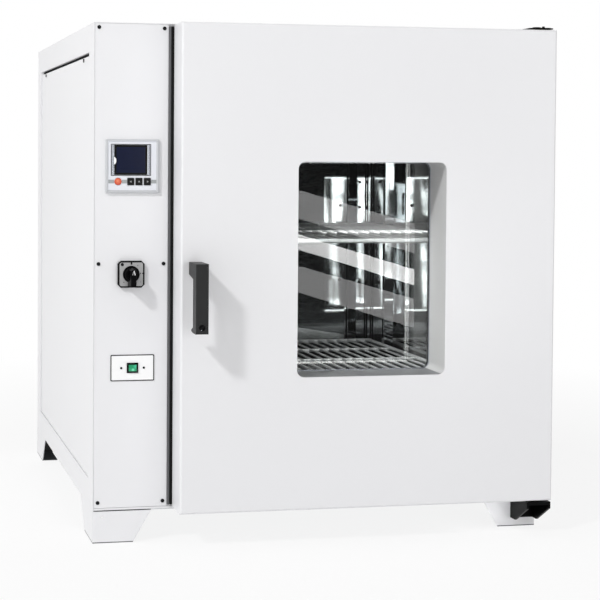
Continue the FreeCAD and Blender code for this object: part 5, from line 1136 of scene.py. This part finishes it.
def build_boards():
    """What the panes mirror: a dark wall with two grey bands and a bright one between them, that
    slope down to the right. What the chamber mirrors through them: a dark wall with a window high
    up and bright upright strips, and a thin bright frame close to the panes."""
    board("dark_board", upright(0.10, 1.00, -1.93, -0.40, 1.05), DARK)
    bands = (("upper_band", 4.6, GREY_UPPER), ("bright_band", 15.0, BRIGHT_MIDDLE),
             ("lower_band", 4.4, GREY_LOWER))
    for name, strength, corners in bands:
        board(name, corners, strength)
    board("room_wall", upright(-3.0, 3.0, -1.75, -0.02, 3.0), DARK, "transmission")
    board("room_window", upright(-2.0, 2.0, -1.74, 1.15, 2.9), 5.0, "transmission")
    for number, (x0, x1, z0, x2, x3, z1, strength) in enumerate(ROOM_STRIPS):
        corners = ((x0, -1.70, z0), (x1, -1.70, z0), (x3, -1.70, z1), (x2, -1.70, z1))
        board("room_strip_%d" % number, corners, strength, "transmission", 22.0, 0.2)
    left, right, foot, head, width = -0.072, 0.203, 0.301, 0.685, 3.0 * MM
    for name, x0, x1, z0, z1 in (("edge_left", left, left + width, foot, head),
                                 ("edge_right", right - width, right, foot, head),
                                 ("edge_foot", left, right, foot, foot + width),
                                 ("edge_head", left, right, head - width, head)):
        board(name, upright(x0, x1, -0.53, z0, z1), 7.0, "transmission")


def build_cove():
    """A paper sweep: a level floor, a quarter circle at its far edge, and an upright wall."""
    half_width, front, bend, radius, top, columns = 12.0, -12.0, 10.0, 2.0, 7.0, 13
    turn = np.linspace(0.0, np.pi / 2, 17)
    y = np.concatenate([[front, -4.0, 3.5], bend + radius * np.sin(turn), [bend + radius]])
    z = np.concatenate([[0.0, 0.0, 0.0], radius - radius * np.cos(turn), [top]])
    x = np.linspace(-half_width, half_width, columns)
    size = (len(y), columns)
    points = np.stack([np.broadcast_to(x[None, :], size), np.broadcast_to(y[:, None], size),
                       np.broadcast_to(z[:, None], size)], axis=-1).reshape(-1, 3)
    cove = add_piece("studio_cove", [(points, [grid_faces(*size, False)])],
                     studio_paper(colours().floor), None)
    for face in cove.data.polygons:
        face.use_smooth = True
    cove.location.z = -0.5 * MM


def build_air(scene, light):
    """White air: its light on the oven is the room light, and what sees it directly sees white."""
    world = bpy.data.worlds.new("studio_air")
    scene.world = world
    world.use_nodes = True
    tree = world.node_tree
    tree.nodes.clear()
    strength = add(tree, "ShaderNodeMapRange", {"Value": seen_share(tree), "To Min": light,
                                                "To Max": 1.0})
    air = add(tree, "ShaderNodeBackground", {"Color": WHITE,
                                             "Strength": strength.outputs["Result"]})
    add(tree, "ShaderNodeOutputWorld", {"Surface": air.outputs["Background"]})


def build_camera(scene, studio):
    """The camera, from its place, the angles of its line of sight and a shifted lens. Its right
    and its up are both turned about that line by the roll."""
    forward = Vector((math.sin(studio.yaw) * math.cos(studio.pitch),
                      math.cos(studio.yaw) * math.cos(studio.pitch), -math.sin(studio.pitch)))
    right = Vector((math.cos(studio.yaw), -math.sin(studio.yaw), 0.0))
    up = right.cross(forward)
    turn_right = right * math.cos(studio.roll) + up * math.sin(studio.roll)
    turn_up = up * math.cos(studio.roll) - right * math.sin(studio.roll)
    data = bpy.data.cameras.new("studio_camera")
    data.lens, data.sensor_width, data.sensor_fit = studio.lens, 36.0, "HORIZONTAL"
    data.shift_x, data.shift_y = LENS_SHIFT
    data.clip_start, data.clip_end = 0.05, 60.0
    camera = bpy.data.objects.new("studio_camera", data)
    scene.collection.objects.link(camera)
    place = Matrix((turn_right, turn_up, -forward)).transposed().to_4x4()
    place.translation = CAMERA_PLACE
    camera.matrix_world = place
    scene.camera = camera


class OVEN_OT_studio(bpy.types.Operator):
    """Build the pale floor, the lamps, the boards that the panes mirror, and the camera"""
    bl_idname = "oven.studio"
    bl_label = "Build studio"

    def execute(self, context):
        scene = context.scene
        studio = scene.oven_studio
        build_cove()
        build_air(scene, studio.world)
        for name, place, target, width, height, setting, mirrored in LAMPS:
            area_lamp(name, place, target, width, height, getattr(studio, setting), mirrored)
        build_boards()
        build_camera(scene, studio)
        scene.view_settings.view_transform = "Standard"
        return {"FINISHED"}


OPERATORS = (OVEN_OT_finish_cabinet, OVEN_OT_finish_door, OVEN_OT_finish_chamber,
             OVEN_OT_finish_controls, OVEN_OT_chamber_trim, OVEN_OT_glazing_bead,
             OVEN_OT_controller_trim, OVEN_OT_key_print, OVEN_OT_selector_label,
             OVEN_OT_selector_pointer, OVEN_OT_switch_seal, OVEN_OT_frame_seals,
             OVEN_OT_handle_lock, OVEN_OT_studio)
GROUPS = (OvenColours, OvenSizes, OvenStudio)


class VIEW3D_PT_drying_oven(bpy.types.Panel):
    """Steps and settings of the drying oven"""
    bl_idname = "VIEW3D_PT_drying_oven"
    bl_label = "Drying oven"
    bl_space_type = "VIEW_3D"
    bl_region_type = "UI"
    bl_category = "Drying oven"

    def draw(self, context):
        column = self.layout.column(align=True)
        for operator in OPERATORS:
            column.operator(operator.bl_idname)
        for group in (colours(), sizes(), context.scene.oven_studio):
            box = self.layout.box().column(align=True)
            for name in group.bl_rna.properties.keys():
                if name not in ("rna_type", "name"):
                    box.prop(group, name)


def register():
    for item in GROUPS + OPERATORS + (VIEW3D_PT_drying_oven,):
        bpy.utils.register_class(item)
    bpy.types.Scene.oven_colours = PointerProperty(type=OvenColours)
    bpy.types.Scene.oven_sizes = PointerProperty(type=OvenSizes)
    bpy.types.Scene.oven_studio = PointerProperty(type=OvenStudio)


def unregister():
    del bpy.types.Scene.oven_studio
    del bpy.types.Scene.oven_sizes
    del bpy.types.Scene.oven_colours
    for item in reversed(GROUPS + OPERATORS + (VIEW3D_PT_drying_oven,)):
        bpy.utils.unregister_class(item)


def main():
    """Register the classes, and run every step."""
    register()
    for operator in OPERATORS:
        group, name = operator.bl_idname.split(".")
        getattr(getattr(bpy.ops, group), name)()


if __name__ == "__main__":
    main()
